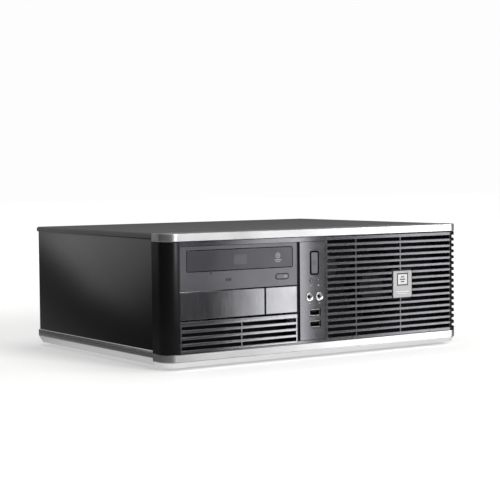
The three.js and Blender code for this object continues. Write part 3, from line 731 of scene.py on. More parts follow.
# ------------------------------------------------------------- optical drive
def drive_face():
    x0, x1, y0, y1, z0, z1 = mmbox("drive_bezel")
    dx0, dx1, _, _, dz0, dz1 = mmbox("tray_door")
    ex0, ex1, _, _, ez0, ez1 = mmbox("eject_button")
    o = tmp(lambda bm: bm_box(bm, x0, x1, y0, y1, z0, z1))

    def cut(bm):
        bm_prism(bm, rr_pts(dx0 - 0.6, dx1 + 0.6, dz0 - 0.6, dz1 + 0.6, 2.2, 8), "Y", -5, 12)
        bm_prism(bm, rr_pts(ex0 - 0.6, ex1 + 0.6, ez0 - 0.6, ez1 + 0.6, 3.15, 10), "Y", -5, 12)
        bm_prism(bm, circle_pts(54.7, 96.2, 0.75, 20), "Y", -5, 12)
        bm_prism(bm, rr_pts(72.6, 79.4, 86.9, 90.3, 1.65, 8), "Y", -5, 0.5)

    boolean(o, tmp(cut))
    finish(o, "drive_face", "case", "gun_drive", slot="dark_bezel", replaces="drive_bezel", bevel=0.3, seg=3, angle=40)
    # window of the activity lamp, sunk a little in its oval
    piece("drive_lamp", "case", "gun_door", lambda bm: bm_prism(bm, rr_pts(73.0, 79.0, 87.3, 89.9, 1.25, 8), "Y", 0.12, 0.6), slot="lens", bevel=0.1, seg=2)
    d = tmp(lambda bm: bm_prism(bm, rr_pts(dx0, dx1, dz0, dz1, 1.7, 8), "Y", 0.0, 4.4))
    finish(d, "tray_door_front", "tray", "gun_door", slot="dark_bezel", replaces="tray_door", bevel=0.35, seg=3, angle=40)
    # generic disc pictogram: a ring, its hub and two short bars
    def disc_mark(bm):
        cx, cz = 139.6, 111.2
        for r0, r1 in ((2.9, 2.3), (1.1, 0.65)):
            revolve(bm, [(r1, -0.05), (r0, -0.05), (r0, 0.02), (r1, 0.02)], (cx, 0, cz), "Y", 40)
        bm_box(bm, 135.2, 144.0, -0.05, 0.02, 106.2, 106.9)
        bm_box(bm, 136.6, 142.6, -0.05, 0.02, 104.5, 105.0)
    piece("disc_mark", "tray", "mark", disc_mark, slot="dark_bezel", bevel=0, weld=False)
    piece("door_patch", "tray", "door_patch", lambda bm: bm_prism(bm, rr_pts(83.6, 99.4, 103.9, 114.2, 0.4, 3), "Y", -0.03, 0.02), slot="dark_bezel", bevel=0)
    e = tmp(lambda bm: bm_prism(bm, rr_pts(ex0, ex1, ez0, ez1, 2.55, 10), "Y", -0.5, 6.2))
    finish(e, "eject_key", "eject", "gun_drive", slot="dark_bezel", replaces="eject_button", bevel=0.35, seg=3, angle=40)

    def eject_mark(bm):
        bm_prism(bm, [(147.6, 88.5), (150.4, 88.5), (149.0, 90.1)], "Y", -0.54, -0.4)
        bm_box(bm, 147.6, 150.4, -0.54, -0.4, 87.4, 87.9)
    piece("eject_mark", "eject", "mark", eject_mark, slot="dark_bezel", bevel=0, weld=False)


M["door_patch"] = gunmetal("door_patch", base=(0.056, 0.056, 0.060), metallic=0.9, rough=0.34, streak=(1, 1, 1))
drive_face()


# ------------------------------------------------------------- control strip
def controls():
    x0, x1, y0, y1, z0, z1 = mmbox("control_panel")
    px0, px1, _, _, pz0, pz1 = mmbox("power_button")
    o = tmp(lambda bm: bm_box(bm, x0, x1, y0, y1, z0, z1))
    leds = [(mmbox(n)[0] + mmbox(n)[1], mmbox(n)[4] + mmbox(n)[5]) for n in ("power_led", "activity_led")]
    leds = [(a / 2, b / 2) for a, b in leds]
    jacks = [(mmbox(n)[0] + mmbox(n)[1], mmbox(n)[4] + mmbox(n)[5]) for n in ("headphone_jack", "microphone_jack")]
    jacks = [(a / 2, b / 2) for a, b in jacks]

    def cut(bm):
        bm_prism(bm, rr_pts(px0 - 1.7, px1 + 1.7, pz0 - 1.7, pz1 + 1.7, 2.6, 8), "Y", -5, 9)
        for (x, z), r in zip(leds, (2.1, 1.7)):
            bm_prism(bm, circle_pts(x, z, r, 28), "Y", -5, 9)
        for x, z in jacks:
            bm_prism(bm, circle_pts(x, z, 5.0, 40), "Y", -5, 9)
        for n in ("usb_port_upper", "usb_port_lower"):
            a = mmbox(n)
            bm_box(bm, a[0] - 0.4, a[1] + 0.4, -5, 9, a[4] - 0.4, a[5] + 0.4)

    boolean(o, tmp(cut))
    finish(o, "control_strip", "case", "gun", slot="dark_bezel", replaces="control_panel", bevel=0.3, seg=3, angle=40)
    # a near-black sleeve behind the button's gap: painted shade, so that the gap reads black
    def sleeve(bm):
        bm_prism(bm, rr_pts(px0 - 1.65, px1 + 1.65, pz0 - 1.65, pz1 + 1.65, 2.5, 6), "Y", 3.0, 5.0)
    s = boolean(tmp(sleeve), tmp(lambda bm: bm_prism(bm, rr_pts(px0 - 0.35, px1 + 0.35, pz0 - 0.35, pz1 + 0.35, 1.4, 6), "Y", 0, 9)))
    finish(s, "button_gap_shade", "case", "void", slot="black_plastic", bevel=0)

    def button(bm):
        bm_prism(bm, rr_pts(px0, px1, pz0, pz1, 1.2, 6), "Y", -0.4, 4.5)
        cx, cz = (px0 + px1) / 2, (pz0 + pz1) / 2
        bm_box(bm, cx - 2, cx + 2, 4.4, 11, 99.2, 103.2)
    piece("power_key", "power", "key", button, slot="dark_bezel", replaces="power_button", bevel=0.45, seg=4, angle=40)

    def power_mark(bm):
        cx, cz = (px0 + px1) / 2, (pz0 + pz1) / 2
        n = 30
        for i in range(n):
            a0 = math.radians(122 + 296 * i / n)
            a1 = math.radians(122 + 296 * (i + 1) / n)
            q = [(cx + r * math.cos(a), cz + r * math.sin(a)) for r, a in ((1.3, a0), (1.3, a1), (2.05, a1), (2.05, a0))]
            bm_prism(bm, q, "Y", -0.46, -0.36)
        bm_box(bm, cx - 0.38, cx + 0.38, -0.46, -0.36, cz + 0.5, cz + 2.6)
    piece("power_mark", "power", "mark_dark", power_mark, slot="dark_bezel", bevel=0)

    for name, node, (x, z), r in (("lamp_power", "power_led", leds[0], 1.9), ("lamp_activity", "activity_led", leds[1], 1.5)):
        prof = [(0.001, -0.2), (r * 0.5, -0.16), (r * 0.85, 0.0), (r, 0.3), (r, 9.0), (0.001, 9.0)]
        piece(name, "case", "lens", lambda bm, x=x, z=z, prof=prof: revolve(bm, prof, (x, 0, z), "Y", 32), slot="lens", replaces=node, bevel=0, weld=True)

    for name, node, (x, z) in (("jack_headphone", "headphone_jack", jacks[0]), ("jack_microphone", "microphone_jack", jacks[1])):
        prof = [(1.8, 0.9), (2.3, 0.35), (3.1, -0.1), (3.8, -0.42), (4.35, -0.5), (4.7, -0.2), (4.7, 3.4), (4.1, 3.4), (4.1, 15.1), (0.001, 15.1), (0.001, 13.6), (1.8, 13.6)]
        piece(name, "case", "jack", lambda bm, x=x, z=z, prof=prof: revolve(bm, prof, (x, 0, z), "Y", 48), slot="port_metal", replaces=node, bevel=0, weld=True)
        # a near-black lining inside the jack's hole: painted shade in the hole
        piece(name + "_bore", "case", "void", lambda bm, x=x, z=z: revolve(bm, [(1.79, 1.3), (1.79, 13.5), (1.2, 13.5), (1.2, 1.3)], (x, 0, z), "Y", 32), slot="black_plastic", bevel=0, weld=True)

    for name, node in (("socket_upper", "usb_port_upper"), ("socket_lower", "usb_port_lower")):
        a = mmbox(node)
        cx, cz = (a[0] + a[1]) / 2, (a[4] + a[5]) / 2
        s = boolean(tmp(lambda bm: bm_box(bm, a[0], a[1], a[2] + 0.7, a[3], a[4], a[5])),
                    tmp(lambda bm: bm_box(bm, cx - 6.35, cx + 6.35, -3, 13.8, cz - 2.75, cz + 2.75)))
        finish(s, name + "_shell", "case", "shell", slot="port_metal", replaces=node, bevel=0.15, seg=2)
        piece(name + "_tongue", "case", "void", lambda bm: bm_box(bm, cx - 5.5, cx + 5.5, 3.2, 14, cz + 0.1, cz + 1.9), slot="black_plastic", bevel=0.12, seg=2)
        # a near-black box frame inside the shell, so the opening reads black behind a thin metal lip: painted shade
        w = boolean(tmp(lambda bm: bm_box(bm, cx - 6.33, cx + 6.33, a[2] + 1.5, 13.8, cz - 2.73, cz + 2.73)),
                    tmp(lambda bm: bm_box(bm, cx - 6.05, cx + 6.05, -3, 13.0, cz - 2.45, cz + 2.45)))
        finish(w, name + "_shade_liner", "case", "void", slot="black_plastic", bevel=0)

        def contacts(bm):
            for i in range(4):
                x = cx - 3.6 + i * 2.4
                bm_box(bm, x - 0.5, x + 0.5, 6.0, 12, cz - 0.02, cz + 0.12)
        piece(name + "_contacts", "case", "gold", contacts, slot="port_metal", bevel=0)

    # small generic pictograms: beside the lamps and jacks
    def marks(bm):
        (lx, lz), (ax, az_) = leds
        bm_box(bm, lx - 0.25, lx + 0.25, -0.04, 0.02, lz - 6.4, lz - 4.6)
        bm_box(bm, lx - 0.9, lx + 0.9, -0.04, 0.02, lz - 6.6, lz - 6.2)
        for k in range(3):
            bm_box(bm, ax - 1.0, ax + 1.0, -0.04, 0.02, az_ - 6.6 + k * 0.8, az_ - 6.2 + k * 0.8)
        for x, z in jacks:
            bm_box(bm, x - 1.1, x + 1.1, -0.04, 0.02, z - 7.6, z - 7.2)
            bm_box(bm, x - 0.2, x + 0.2, -0.04, 0.02, z - 7.6, z - 6.3)
    piece("strip_marks", "case", "mark", marks, slot="dark_bezel", bevel=0, weld=False)


M["key"] = gunmetal("key_satin", base=(0.088, 0.088, 0.093), metallic=0.85, rough=0.32, streak=(1, 1, 1), lean=False)
M["lens"] = paint("lens_grey", (0.05, 0.05, 0.054), rough=0.26, peel=0.02, coat=0.2)
M["gold"] = chrome("contact_gold", (0.80, 0.58, 0.25), 0.25)
controls()


# --------------------------------------------------------------------- badge
def badge():
    x0, x1, y0, y1, z0, z1 = mmbox("badge")
    piece("badge_plate", "case", "badge", lambda bm: bm_prism(bm, rr_pts(x0, x1, z0, z1, 0.9, 5), "Y", y0 + 0.1, y1), slot="silver_trim", replaces="badge", bevel=0.3, seg=3, angle=40)
    cx, cz = (x0 + x1) / 2, z0 + (z1 - z0) * 0.68

    def ring(bm, s, t, a, b, m=0):
        bm_box(bm, cx - s, cx + s, a, b, cz + s * 0.86 - t, cz + s * 0.86, m)
        bm_box(bm, cx - s, cx + s, a, b, cz - s * 0.86, cz - s * 0.86 + t, m)
        bm_box(bm, cx - s, cx - s + t, a, b, cz - s * 0.86 + t, cz + s * 0.86 - t, m)
        bm_box(bm, cx + s - t, cx + s, a, b, cz - s * 0.86 + t, cz + s * 0.86 - t, m)
    piece("badge_outline", "case", "mark_dark", lambda bm: ring(bm, 8.2, 1.25, y0 + 0.02, y0 + 0.2), slot="dark_bezel", bevel=0, weld=False)
    piece("badge_field", "case", "mark_white", lambda bm: bm_box(bm, cx - 6.6, cx + 6.6, y0 + 0.03, y0 + 0.2, cz - 5.6, cz + 5.6), slot="silver_trim", bevel=0.05, seg=1)

    def glyph(bm):
        for k, w in enumerate((2.6, 4.0, 2.6)):
            bm_box(bm, cx - w, cx + w, y0, y0 + 0.1, cz - 3.3 + k * 2.7, cz - 2.0 + k * 2.7)
    piece("badge_glyph", "case", "mark_dark", glyph, slot="dark_bezel", bevel=0, weld=False)

    def lines(bm):
        bm_box(bm, x0 + 4.5, x1 - 4.5, y0 + 0.06, y0 + 0.2, z0 + 6.2, z0 + 7.1)
        bm_box(bm, x0 + 7.0, x1 - 7.0, y0 + 0.06, y0 + 0.2, z0 + 4.2, z0 + 4.8)
    piece("badge_lines", "case", "mark_white", lines, slot="silver_trim", bevel=0, weld=False)


badge()


# --------------------------------------------------- CAD pieces that are shown
def dress(node, mat, bevel=0.3, seg=2, angle=35):
    o = NODES[node]
    o.data.materials.clear()
    o.data.materials.append(M[mat] if isinstance(mat, str) else mat)
    w = o.modifiers.new("weld", "WELD")
    w.merge_threshold = 2e-6
    if bevel:
        b = o.modifiers.new("bevel", "BEVEL")
        b.width = bevel / 1000
        b.segments = seg
        b.limit_method = "ANGLE"
        b.angle_limit = math.radians(angle)
        b.harden_normals = True
        b.use_clamp_overlap = True
    for p in o.data.polygons:
        p.use_smooth = True


dress("top_cover", "cover", 0.5, 3, 30)
dress("base_skin", "base", 0.4, 3, 30)
dress("chassis_pan", "side", 0.35, 2, 30)
# the front plate behind the grille takes the near-black, so that the slots read dark: painted shade
dress("front_plate", "void", 0.2, 2, 40)
for n in ("intake_fan_frame", "intake_fan_rotor", "speaker"):
    dress(n, "fan", 0.3, 2, 40)
for n in ("rear_panel", "drive_cage", "drive_case", "disc_spindle", "supply_case", "io_shield", "slot_cover_inner", "slot_cover_outer"):
    dress(n, "zinc", 0.2, 2, 40)
for n in ("serial_port", "video_port", "lan_stack", "usb_stack"):
    dress(n, "chrome", 0.2, 2, 40)
for n in ("disc_tray", "laser_sled", "cpu_fan_frame", "cpu_fan_rotor", "supply_fan_rotor", "power_inlet", "audio_stack", "slot_lock"):
    dress(n, "black", 0.3, 2, 40)
def pcb_material():
    """green lacquer over fine tracks that run two ways, with plated holes"""
    m = Mat("board_green")
    bands = []
    for d in ("X", "Y"):
        w = m.node("ShaderNodeTexWave", wave_type="BANDS", bands_direction=d)
        w.inputs["Scale"].default_value = 210
        w.inputs["Distortion"].default_value = 0.0
        m.link(m.obj, w.inputs["Vector"])
        bands.append(w.outputs["Fac"])
    patch = m.node("ShaderNodeTexVoronoi")
    patch.inputs["Scale"].default_value = 70
    m.link(m.obj, patch.inputs["Vector"])
    tone = m.node("ShaderNodeRGBToBW")
    m.link(patch.outputs["Color"], tone.inputs[0])
    which = m.ramp(tone.outputs[0], (0.50, 0.0), (0.52, 1.0))
    lines = m.ramp(m.mix(which, bands[0], bands[1]), (0.55, 0.0), (0.70, 1.0))
    lines = m.math("MULTIPLY", lines, m.ramp(m.noise(45, 2), (0.42, 0.0), (0.5, 1.0)))
    c = m.mix(lines, (0.007, 0.060, 0.028), (0.018, 0.120, 0.055))
    hole = m.node("ShaderNodeTexVoronoi")
    hole.inputs["Scale"].default_value = 240
    m.link(m.obj, hole.inputs["Vector"])
    dot = m.ramp(hole.outputs["Distance"], (0.14, 1.0), (0.17, 0.0))
    m.set(Base_Color=m.mix(dot, c, (0.55, 0.42, 0.2)), Metallic=m.math("MULTIPLY", dot, 0.9), Roughness=m.span(lines, 0, 1, 0.34, 0.42))
    m.bump(m.math("ADD", lines, dot), 0.2, 0.00005)
    return m.m


M["pcb"] = pcb_material()
for n in ("front_io_board",):
    dress(n, "pcb", 0.12, 1, 40)
M["alu"] = zinc("cast_aluminium", (0.62, 0.63, 0.64), 0.38, (900, 60, 900), 0.1)
for n in ("heatsink", "hard_drive"):
    dress(n, "alu", 0.25, 2, 40)
M["red"] = paint("switch_red", (0.45, 0.02, 0.02), rough=0.35)
dress("voltage_switch", "red", 0.2)
for n in ("foot_front_left", "foot_front_right", "foot_rear_left", "foot_rear_right"):
    dress(n, "rubber", 0.5, 3, 40)

# ------------------------------------------------------------------- fasteners
M["white_plastic"] = plastic("natural_nylon", (0.62, 0.60, 0.54), rough=0.5, grain=0.15)
M["sleeve"] = plastic("capacitor_sleeve", (0.012, 0.025, 0.10), rough=0.3, grain=0.05, wear=False)
M["blue"] = plastic("insert_blue", (0.012, 0.045, 0.32), rough=0.4, grain=0.1, wear=False)
M["teal"] = plastic("insert_teal", (0.01, 0.16, 0.17), rough=0.4, grain=0.1, wear=False)
M["pink"] = plastic("insert_pink", (0.70, 0.16, 0.26), rough=0.4, grain=0.1, wear=False)
M["lime"] = plastic("insert_lime", (0.20, 0.55, 0.12), rough=0.4, grain=0.1, wear=False)
M["sky"] = plastic("insert_sky", (0.16, 0.36, 0.72), rough=0.4, grain=0.1, wear=False)
M["amber"] = plastic("insert_amber", (0.65, 0.30, 0.02), rough=0.25, grain=0.05, wear=False)
M["sticker"] = paint("blank_sticker", (0.66, 0.66, 0.64), rough=0.45, peel=0.05)


def turned(axis, c, u, v, t):
    """a point (u, v) across the axis and t along it, from the centre c"""
    return {"Y": (c[0] + u, c[1] + t, c[2] + v), "-Y": (c[0] - u, c[1] - t, c[2] + v), "Z": (c[0] + u, c[1] + v, c[2] + t),
            "-Z": (c[0] + u, c[1] - v, c[2] - t), "X": (c[0] + t, c[1] + u, c[2] + v), "-X": (c[0] - t, c[1] - u, c[2] + v)}[axis]


def lathe(bm, axis, c, prof, n=24, mat=0, wob=0.0):
    """open profile of (r, t); a first or last r of 0 closes the end"""
    rings = []
    for r, t in prof:
        if r == 0:
            rings.append([bm.verts.new(R(*turned(axis, c, 0, 0, t)))])
        else:
            rings.append([bm.verts.new(R(*turned(axis, c, (r - (wob if k % 2 else 0)) * math.cos(2 * math.pi * k / n), (r - (wob if k % 2 else 0)) * math.sin(2 * math.pi * k / n), t))) for k in range(n)])
    for a, b in zip(rings, rings[1:]):
        for k in range(n):
            k2 = (k + 1) % n
            f = [a[k], a[k2], b[k2], b[k]] if len(a) > 1 and len(b) > 1 else [a[0], b[k2], b[k]] if len(a) == 1 else [a[k], a[k2], b[0]]
            bm.faces.new(f).material_index = mat


def abox(bm, axis, c, u0, u1, v0, v1, t0, t1, mat=0):
    a, b = turned(axis, c, u0, v0, t0), turned(axis, c, u1, v1, t1)
    q = [sorted((a[i], b[i])) for i in range(3)]
    bm_box(bm, q[0][0], q[0][1], q[1][0], q[1][1], q[2][0], q[2][1], mat)


def screw(bm, axis, c, r=3.2, h=1.3, mat=0, dark=1):
    """a pan head with a cross recess, drawn as a raised cross in the dark material: painted shade, not a cut hollow"""
    lathe(bm, axis, c, [(r, -0.1), (r, h * 0.35), (r * 0.92, h * 0.65), (r * 0.72, h * 0.9), (r * 0.5, h), (0, h)], 24, mat)
    for w, l in ((0.16, 0.56), (0.56, 0.16)):
        abox(bm, axis, c, -r * w, r * w, -r * l, r * l, h - 0.3, h + 0.03, dark)


def rear_fittings():
    yp, ys = mmbox("rear_panel")[3], mmbox("supply_case")[3]

    # panel screws
    def rim(bm):
        for x, z in ((8.8 + 2.2, 104), (147, 104), (147, 22), (316, 22), (385, 60), (385, 100), (316, 100), (20, 118), (130, 118)):
            screw(bm, "Y", (x, yp, z), 2.7, 1.1)
    piece("rear_screws", "case", ["chrome", "void"], rim, slot="zinc_steel", bevel=0, weld=False)

    def supply_screws(bm):
        for x, z in ((17.5, 18.5), (133.5, 50.5), (17.5, 86), (133.5, 86)):
            screw(bm, "Y", (x, ys, z), 2.9, 1.1)
    piece("supply_screws", "case", ["chrome", "void"], supply_screws, slot="zinc_steel", bevel=0, weld=False)

    # wire guard: rings and spokes, welded at four lugs
    def guard(bm):
        c = (50, ys, 52)
        for rr in (9.5, 16.5, 23.5, 30.5, 36.8):
            ring = []
            for j in range(8):
                a = 2 * math.pi * j / 8
                ring.append((rr + 0.75 * math.cos(a), 1.9 + 0.75 * math.sin(a)))
            lathe(bm, "Y", c, ring + [ring[0]], 56)
        for q in range(4):
            a = math.radians(45 + 90 * q)
            ca, sa = math.cos(a), math.sin(a)
            pts = []
            for r, t, w in ((8.2, 0.75, 0.8), (40.5, 0.75, 0.8)):
                pts.append((r, t, w))
            v = []
            for r, t, w in pts:
                for k in range(6):
                    b = 2 * math.pi * k / 6
                    u, o_ = w * math.cos(b), t + w * math.sin(b)
                    v.append(bm.verts.new(R(50 + r * ca - u * sa, ys + o_, 52 + r * sa + u * ca)))
            for k in range(6):
                bm.faces.new([v[k], v[(k + 1) % 6], v[6 + (k + 1) % 6], v[6 + k]])
            bm.faces.new(v[:6][::-1])
            bm.faces.new(v[6:])
            lathe(bm, "Y", (50 + 41.5 * ca, ys, 52 + 41.5 * sa), [(3.0, 0.0), (3.0, 1.6), (2.4, 2.2), (0, 2.3)], 20)
    piece("fan_guard", "case", "chrome", guard, slot="port_metal", bevel=0, weld=True, angle=60)

    # card slot covers: a pressed rib; shield: dimples round the ports
    def ribs(bm):
        for x in (322, 346):
            bm_prism(bm, rr_pts(x + 4.6, x + 9.4, 27, 104, 2.3, 6), "Y", 302.5, 303.1)
        for x in (153.6, 305.4):
            for z in (22, 38.5, 55):
                lathe(bm, "Y", (x, 302.6, z), [(1.5, -0.1), (1.3, 0.25), (0.8, 0.42), (0, 0.45)], 16)
        # stiffening beads and a rim round the port window
        for z in (66.5, 119.0):
            bm_prism(bm, rr_pts(158, 300, z - 1.4, z + 1.4, 1.35, 6), "Y", yp - 0.1, yp + 0.45)
        bm_prism(bm, rr_pts(374, 376.6, 24, 96, 1.25, 6), "Y", yp - 0.1, yp + 0.45)
    piece("rear_beads", "case", "zinc", ribs, slot="zinc_steel", bevel=0.2, seg=2)

    # the slot's opening is a near-black plate on the panel: painted shade standing for the hole
    def slots(bm):
        bm_prism(bm, rr_pts(143.8, 151.2, 97, 100.2, 1.5, 8), "Y", yp - 0.1, yp + 0.03, 1)
        bm_prism(bm, rr_pts(142.6, 152.4, 95.8, 101.4, 2.7, 8), "Y", yp - 0.1, yp + 0.015, 0)
    piece("security_slot", "case", ["zinc", "void"], slots, slot="zinc_steel", bevel=0)

    # ports
    def keystone(x, g, w):
        return [(x - w, 27 + g), (x + w, 27 + g), (x + w - 1.6, 27 - g), (x - w + 1.6, 27 - g)]

    def serial(bm):
        bm_prism(bm, keystone(173.5, 3.35, 7.75), "Y", 298.1, 300.4, 0)
        for z, n in ((28.4, 5), (25.6, 4)):
            for k in range(n):
                lathe(bm, "Y", (173.5 + (k - (n - 1) / 2) * 2.55, 300.3, z), [(0.5, 0), (0.5, 4.2), (0.3, 4.9), (0, 5.0)], 12, 1)
    piece("serial_insert", "case", ["teal", "gold"], serial, slot="black_plastic", bevel=0)

    def video(bm):
        bm_prism(bm, keystone(212.5, 3.35, 7.75), "Y", 298.1, 305.7, 0)
        # the pin holes are near-black discs on the face: painted shade standing for the holes
        for i, z in enumerate((29.0, 27.0, 25.0)):
            for k in range(5):
                x = 212.5 + (k - 2) * 2.35 + (0.5 if i == 1 else 0)
                lathe(bm, "Y", (x, 305.7, z), [(0.52, -0.1), (0.52, 0.03), (0, 0.03)], 12, 1)
    piece("video_insert", "case", ["blue", "void"], video, slot="black_plastic", bevel=0)

    # the standoffs' threaded holes are near-black discs: painted shade standing for the holes
    def hexes(bm):
        for x in (173.5, 212.5):
            for d in (-12.4, 12.4):
                bm_prism(bm, circle_pts(x + d, 27, 2.5, 6), "Y", 302.5, 305.9, 0)
                lathe(bm, "Y", (x + d, 305.9, 27), [(1.25, -0.1), (1.25, 0.04), (0, 0.04)], 16, 1)
    piece("port_standoffs", "case", ["chrome", "void"], hexes, slot="port_metal", bevel=0)

    # the near-black plates at the back of each opening are painted shade in the openings
    def stacks(bm):
        for x, zs in ((244, (22, 30)), (264, (22, 31, 40))):
            for z in zs:
                bm_box(bm, x - 5.6, x + 5.6, 289, 301.9, z + 0.3, z + 2.1, 0)
                bm_box(bm, x - 6.15, x + 6.15, 290.1, 290.6, z - 2.6, z + 2.6, 1)
                for k in range(4):
                    bm_box(bm, x - 4.1 + k * 2.4, x - 3.1 + k * 2.4, 291, 301.2, z + 0.2, z + 0.32, 2)
        bm_box(bm, 238.1, 249.9, 291.1, 291.8, 36.1, 44.3, 1)
        bm_box(bm, 238.05, 238.5, 291.2, 303.2, 36.1, 44.3, 0)
        bm_box(bm, 249.5, 249.95, 291.2, 303.2, 36.1, 44.3, 0)
        bm_box(bm, 238.1, 249.9, 291.2, 303.2, 36.05, 36.5, 0)
        for k in range(8):
            bm_box(bm, 239.9 + k * 1.16, 240.3 + k * 1.16, 292, 301.5, 42.6, 43.1, 2)
        bm_box(bm, 237.3, 239.6, 303.3, 303.75, 44.8, 46.1, 3)
        bm_box(bm, 248.4, 250.7, 303.3, 303.75, 44.8, 46.1, 4)
    piece("stack_inserts", "case", ["black", "void", "gold", "lime", "amber"], stacks, slot="black_plastic", bevel=0, weld=False)

    def audio(bm):
        for i, z in enumerate((23, 35.5, 48)):
            lathe(bm, "Y", (287, 303.3, z), [(1.8, -6), (1.8, 1.0), (2.1, 1.3), (3.9, 1.3), (4.2, 1.0), (4.2, -0.1)], 32, i)
            # a near-black disc at the bottom of each bore: painted shade in the hole
            lathe(bm, "Y", (287, 303.3, z), [(1.79, -5.4), (0, -5.4)], 24, 3)
    piece("audio_rings", "case", ["pink", "lime", "sky", "void"], audio, slot="black_plastic", bevel=0)

    def inlet(bm):
        for x0, x1, z0, z1, y1 in ((105.5, 107.5, 31.5, 35.5, 300), (119.5, 121.5, 31.5, 35.5, 300), (112.5, 114.5, 35.3, 39.3, 301)):
            bm_box(bm, x0 - 0.06, x1 + 0.06, 288.1, y1 + 0.06, z0 - 0.06, z1 + 0.06)
    piece("inlet_blades", "case", "chrome", inlet, slot="port_metal", bevel=0.2, seg=2)

    def range_lines(bm):
        bm_box(bm, 107.4, 107.9, 302.38, 302.46, 62, 66)
        bm_box(bm, 110.1, 110.6, 302.38, 302.46, 62, 66)
        bm_box(bm, 108.75, 109.25, 302.38, 302.46, 62, 66)
    piece("range_grip", "range_switch", "mark_white", range_lines, slot="switch_red", bevel=0, weld=False)

    # thumbscrews with a knurled head
    for n in ("thumbscrew_left", "thumbscrew_right"):
        x0, x1, y0, y1, z0, z1 = mmbox(n)
        c = ((x0 + x1) / 2, y1, (z0 + z1) / 2)
        r = (x1 - x0) / 2

        def knob(bm, c=c, r=r, y0=y0, y1=y1):
            h = 2.6
            lathe(bm, "Y", c, [(1.8, y0 - y1), (1.8, -h - 0.05)], 20)
            lathe(bm, "Y", c, [(1.8, -h), (r - 0.5, -h), (r, -h + 0.35), (r, -0.45), (r - 0.45, 0), (0, 0)], 56, 0, 0.22)
            # the head's slot is a near-black bar: painted shade, not a cut slot
            abox(bm, "Y", c, -r * 0.6, r * 0.6, -0.4, 0.4, -0.3, 0.0, 1)
        piece(n + "_head", "cover", ["chrome", "void"], knob, slot="zinc_steel", replaces=n, bevel=0, angle=50)

    # grip ridges on the slot lock's tab
    def grip(bm):
        for k in range(4):
            bm_box(bm, 317.6, 320.4, 306.5, 306.85, 112.2 + k * 1.6, 112.9 + k * 1.6)
        bm_prism(bm, rr_pts(326, 380, 110.6, 119.4, 2.0, 5), "Y", 304.8, 305.25)
    piece("slot_lock_grip", "lock", "black", grip, slot="black_plastic", bevel=0.15, seg=2)


rear_fittings()


def outside_fittings():
    """screws, slots and foot details underneath"""
    def under(bm):
        for x, y in ((34, 58), (366, 58), (34, 272), (366, 272)):
            lathe(bm, "-Z", (x, y, 0), [(13.4, -0.1), (13.2, 0.12), (12.0, 0.16), (11.2, 0.02), (11.2, -0.1)], 40)
        for x, y in ((60, 165), (340, 165), (200, 52), (200, 280)):
            screw(bm, "-Z", (x, y, 0), 3.0, 0.9, 1, 2)
        for k in range(3):
            bm_prism(bm, rr_pts(96, 304, 98 + 62 * k, 102.4 + 62 * k, 2.1, 6), "Z", -0.32, 0.1)
    piece("underside_details", "case", ["base", "chrome", "void"], under, slot="case_silver", bevel=0, weld=False)

    for n in ("foot_front_left", "foot_front_right", "foot_rear_left", "foot_rear_right"):
        x0, x1, y0, y1, z0, z1 = mmbox(n)
        c = ((x0 + x1) / 2, (y0 + y1) / 2, z0)
        r = (x1 - x0) / 2
        h = z1 - z0

        def foot(bm, c=c, r=r, h=h):
            lathe(bm, "Z", c, [(0, 0.9), (2.6, 0.9), (2.6, 0.5), (3.2, 0.0), (5.6, 0.0), (5.9, 0.3), (6.3, 0.3), (6.6, 0.0), (r - 0.9, 0.0), (r - 0.25, 0.35), (r, 1.0), (r, h), (0, h)], 48)
        piece(n + "_pad", "case", "rubber", foot, slot="rubber", replaces=n, bevel=0, angle=40)


outside_fittings()


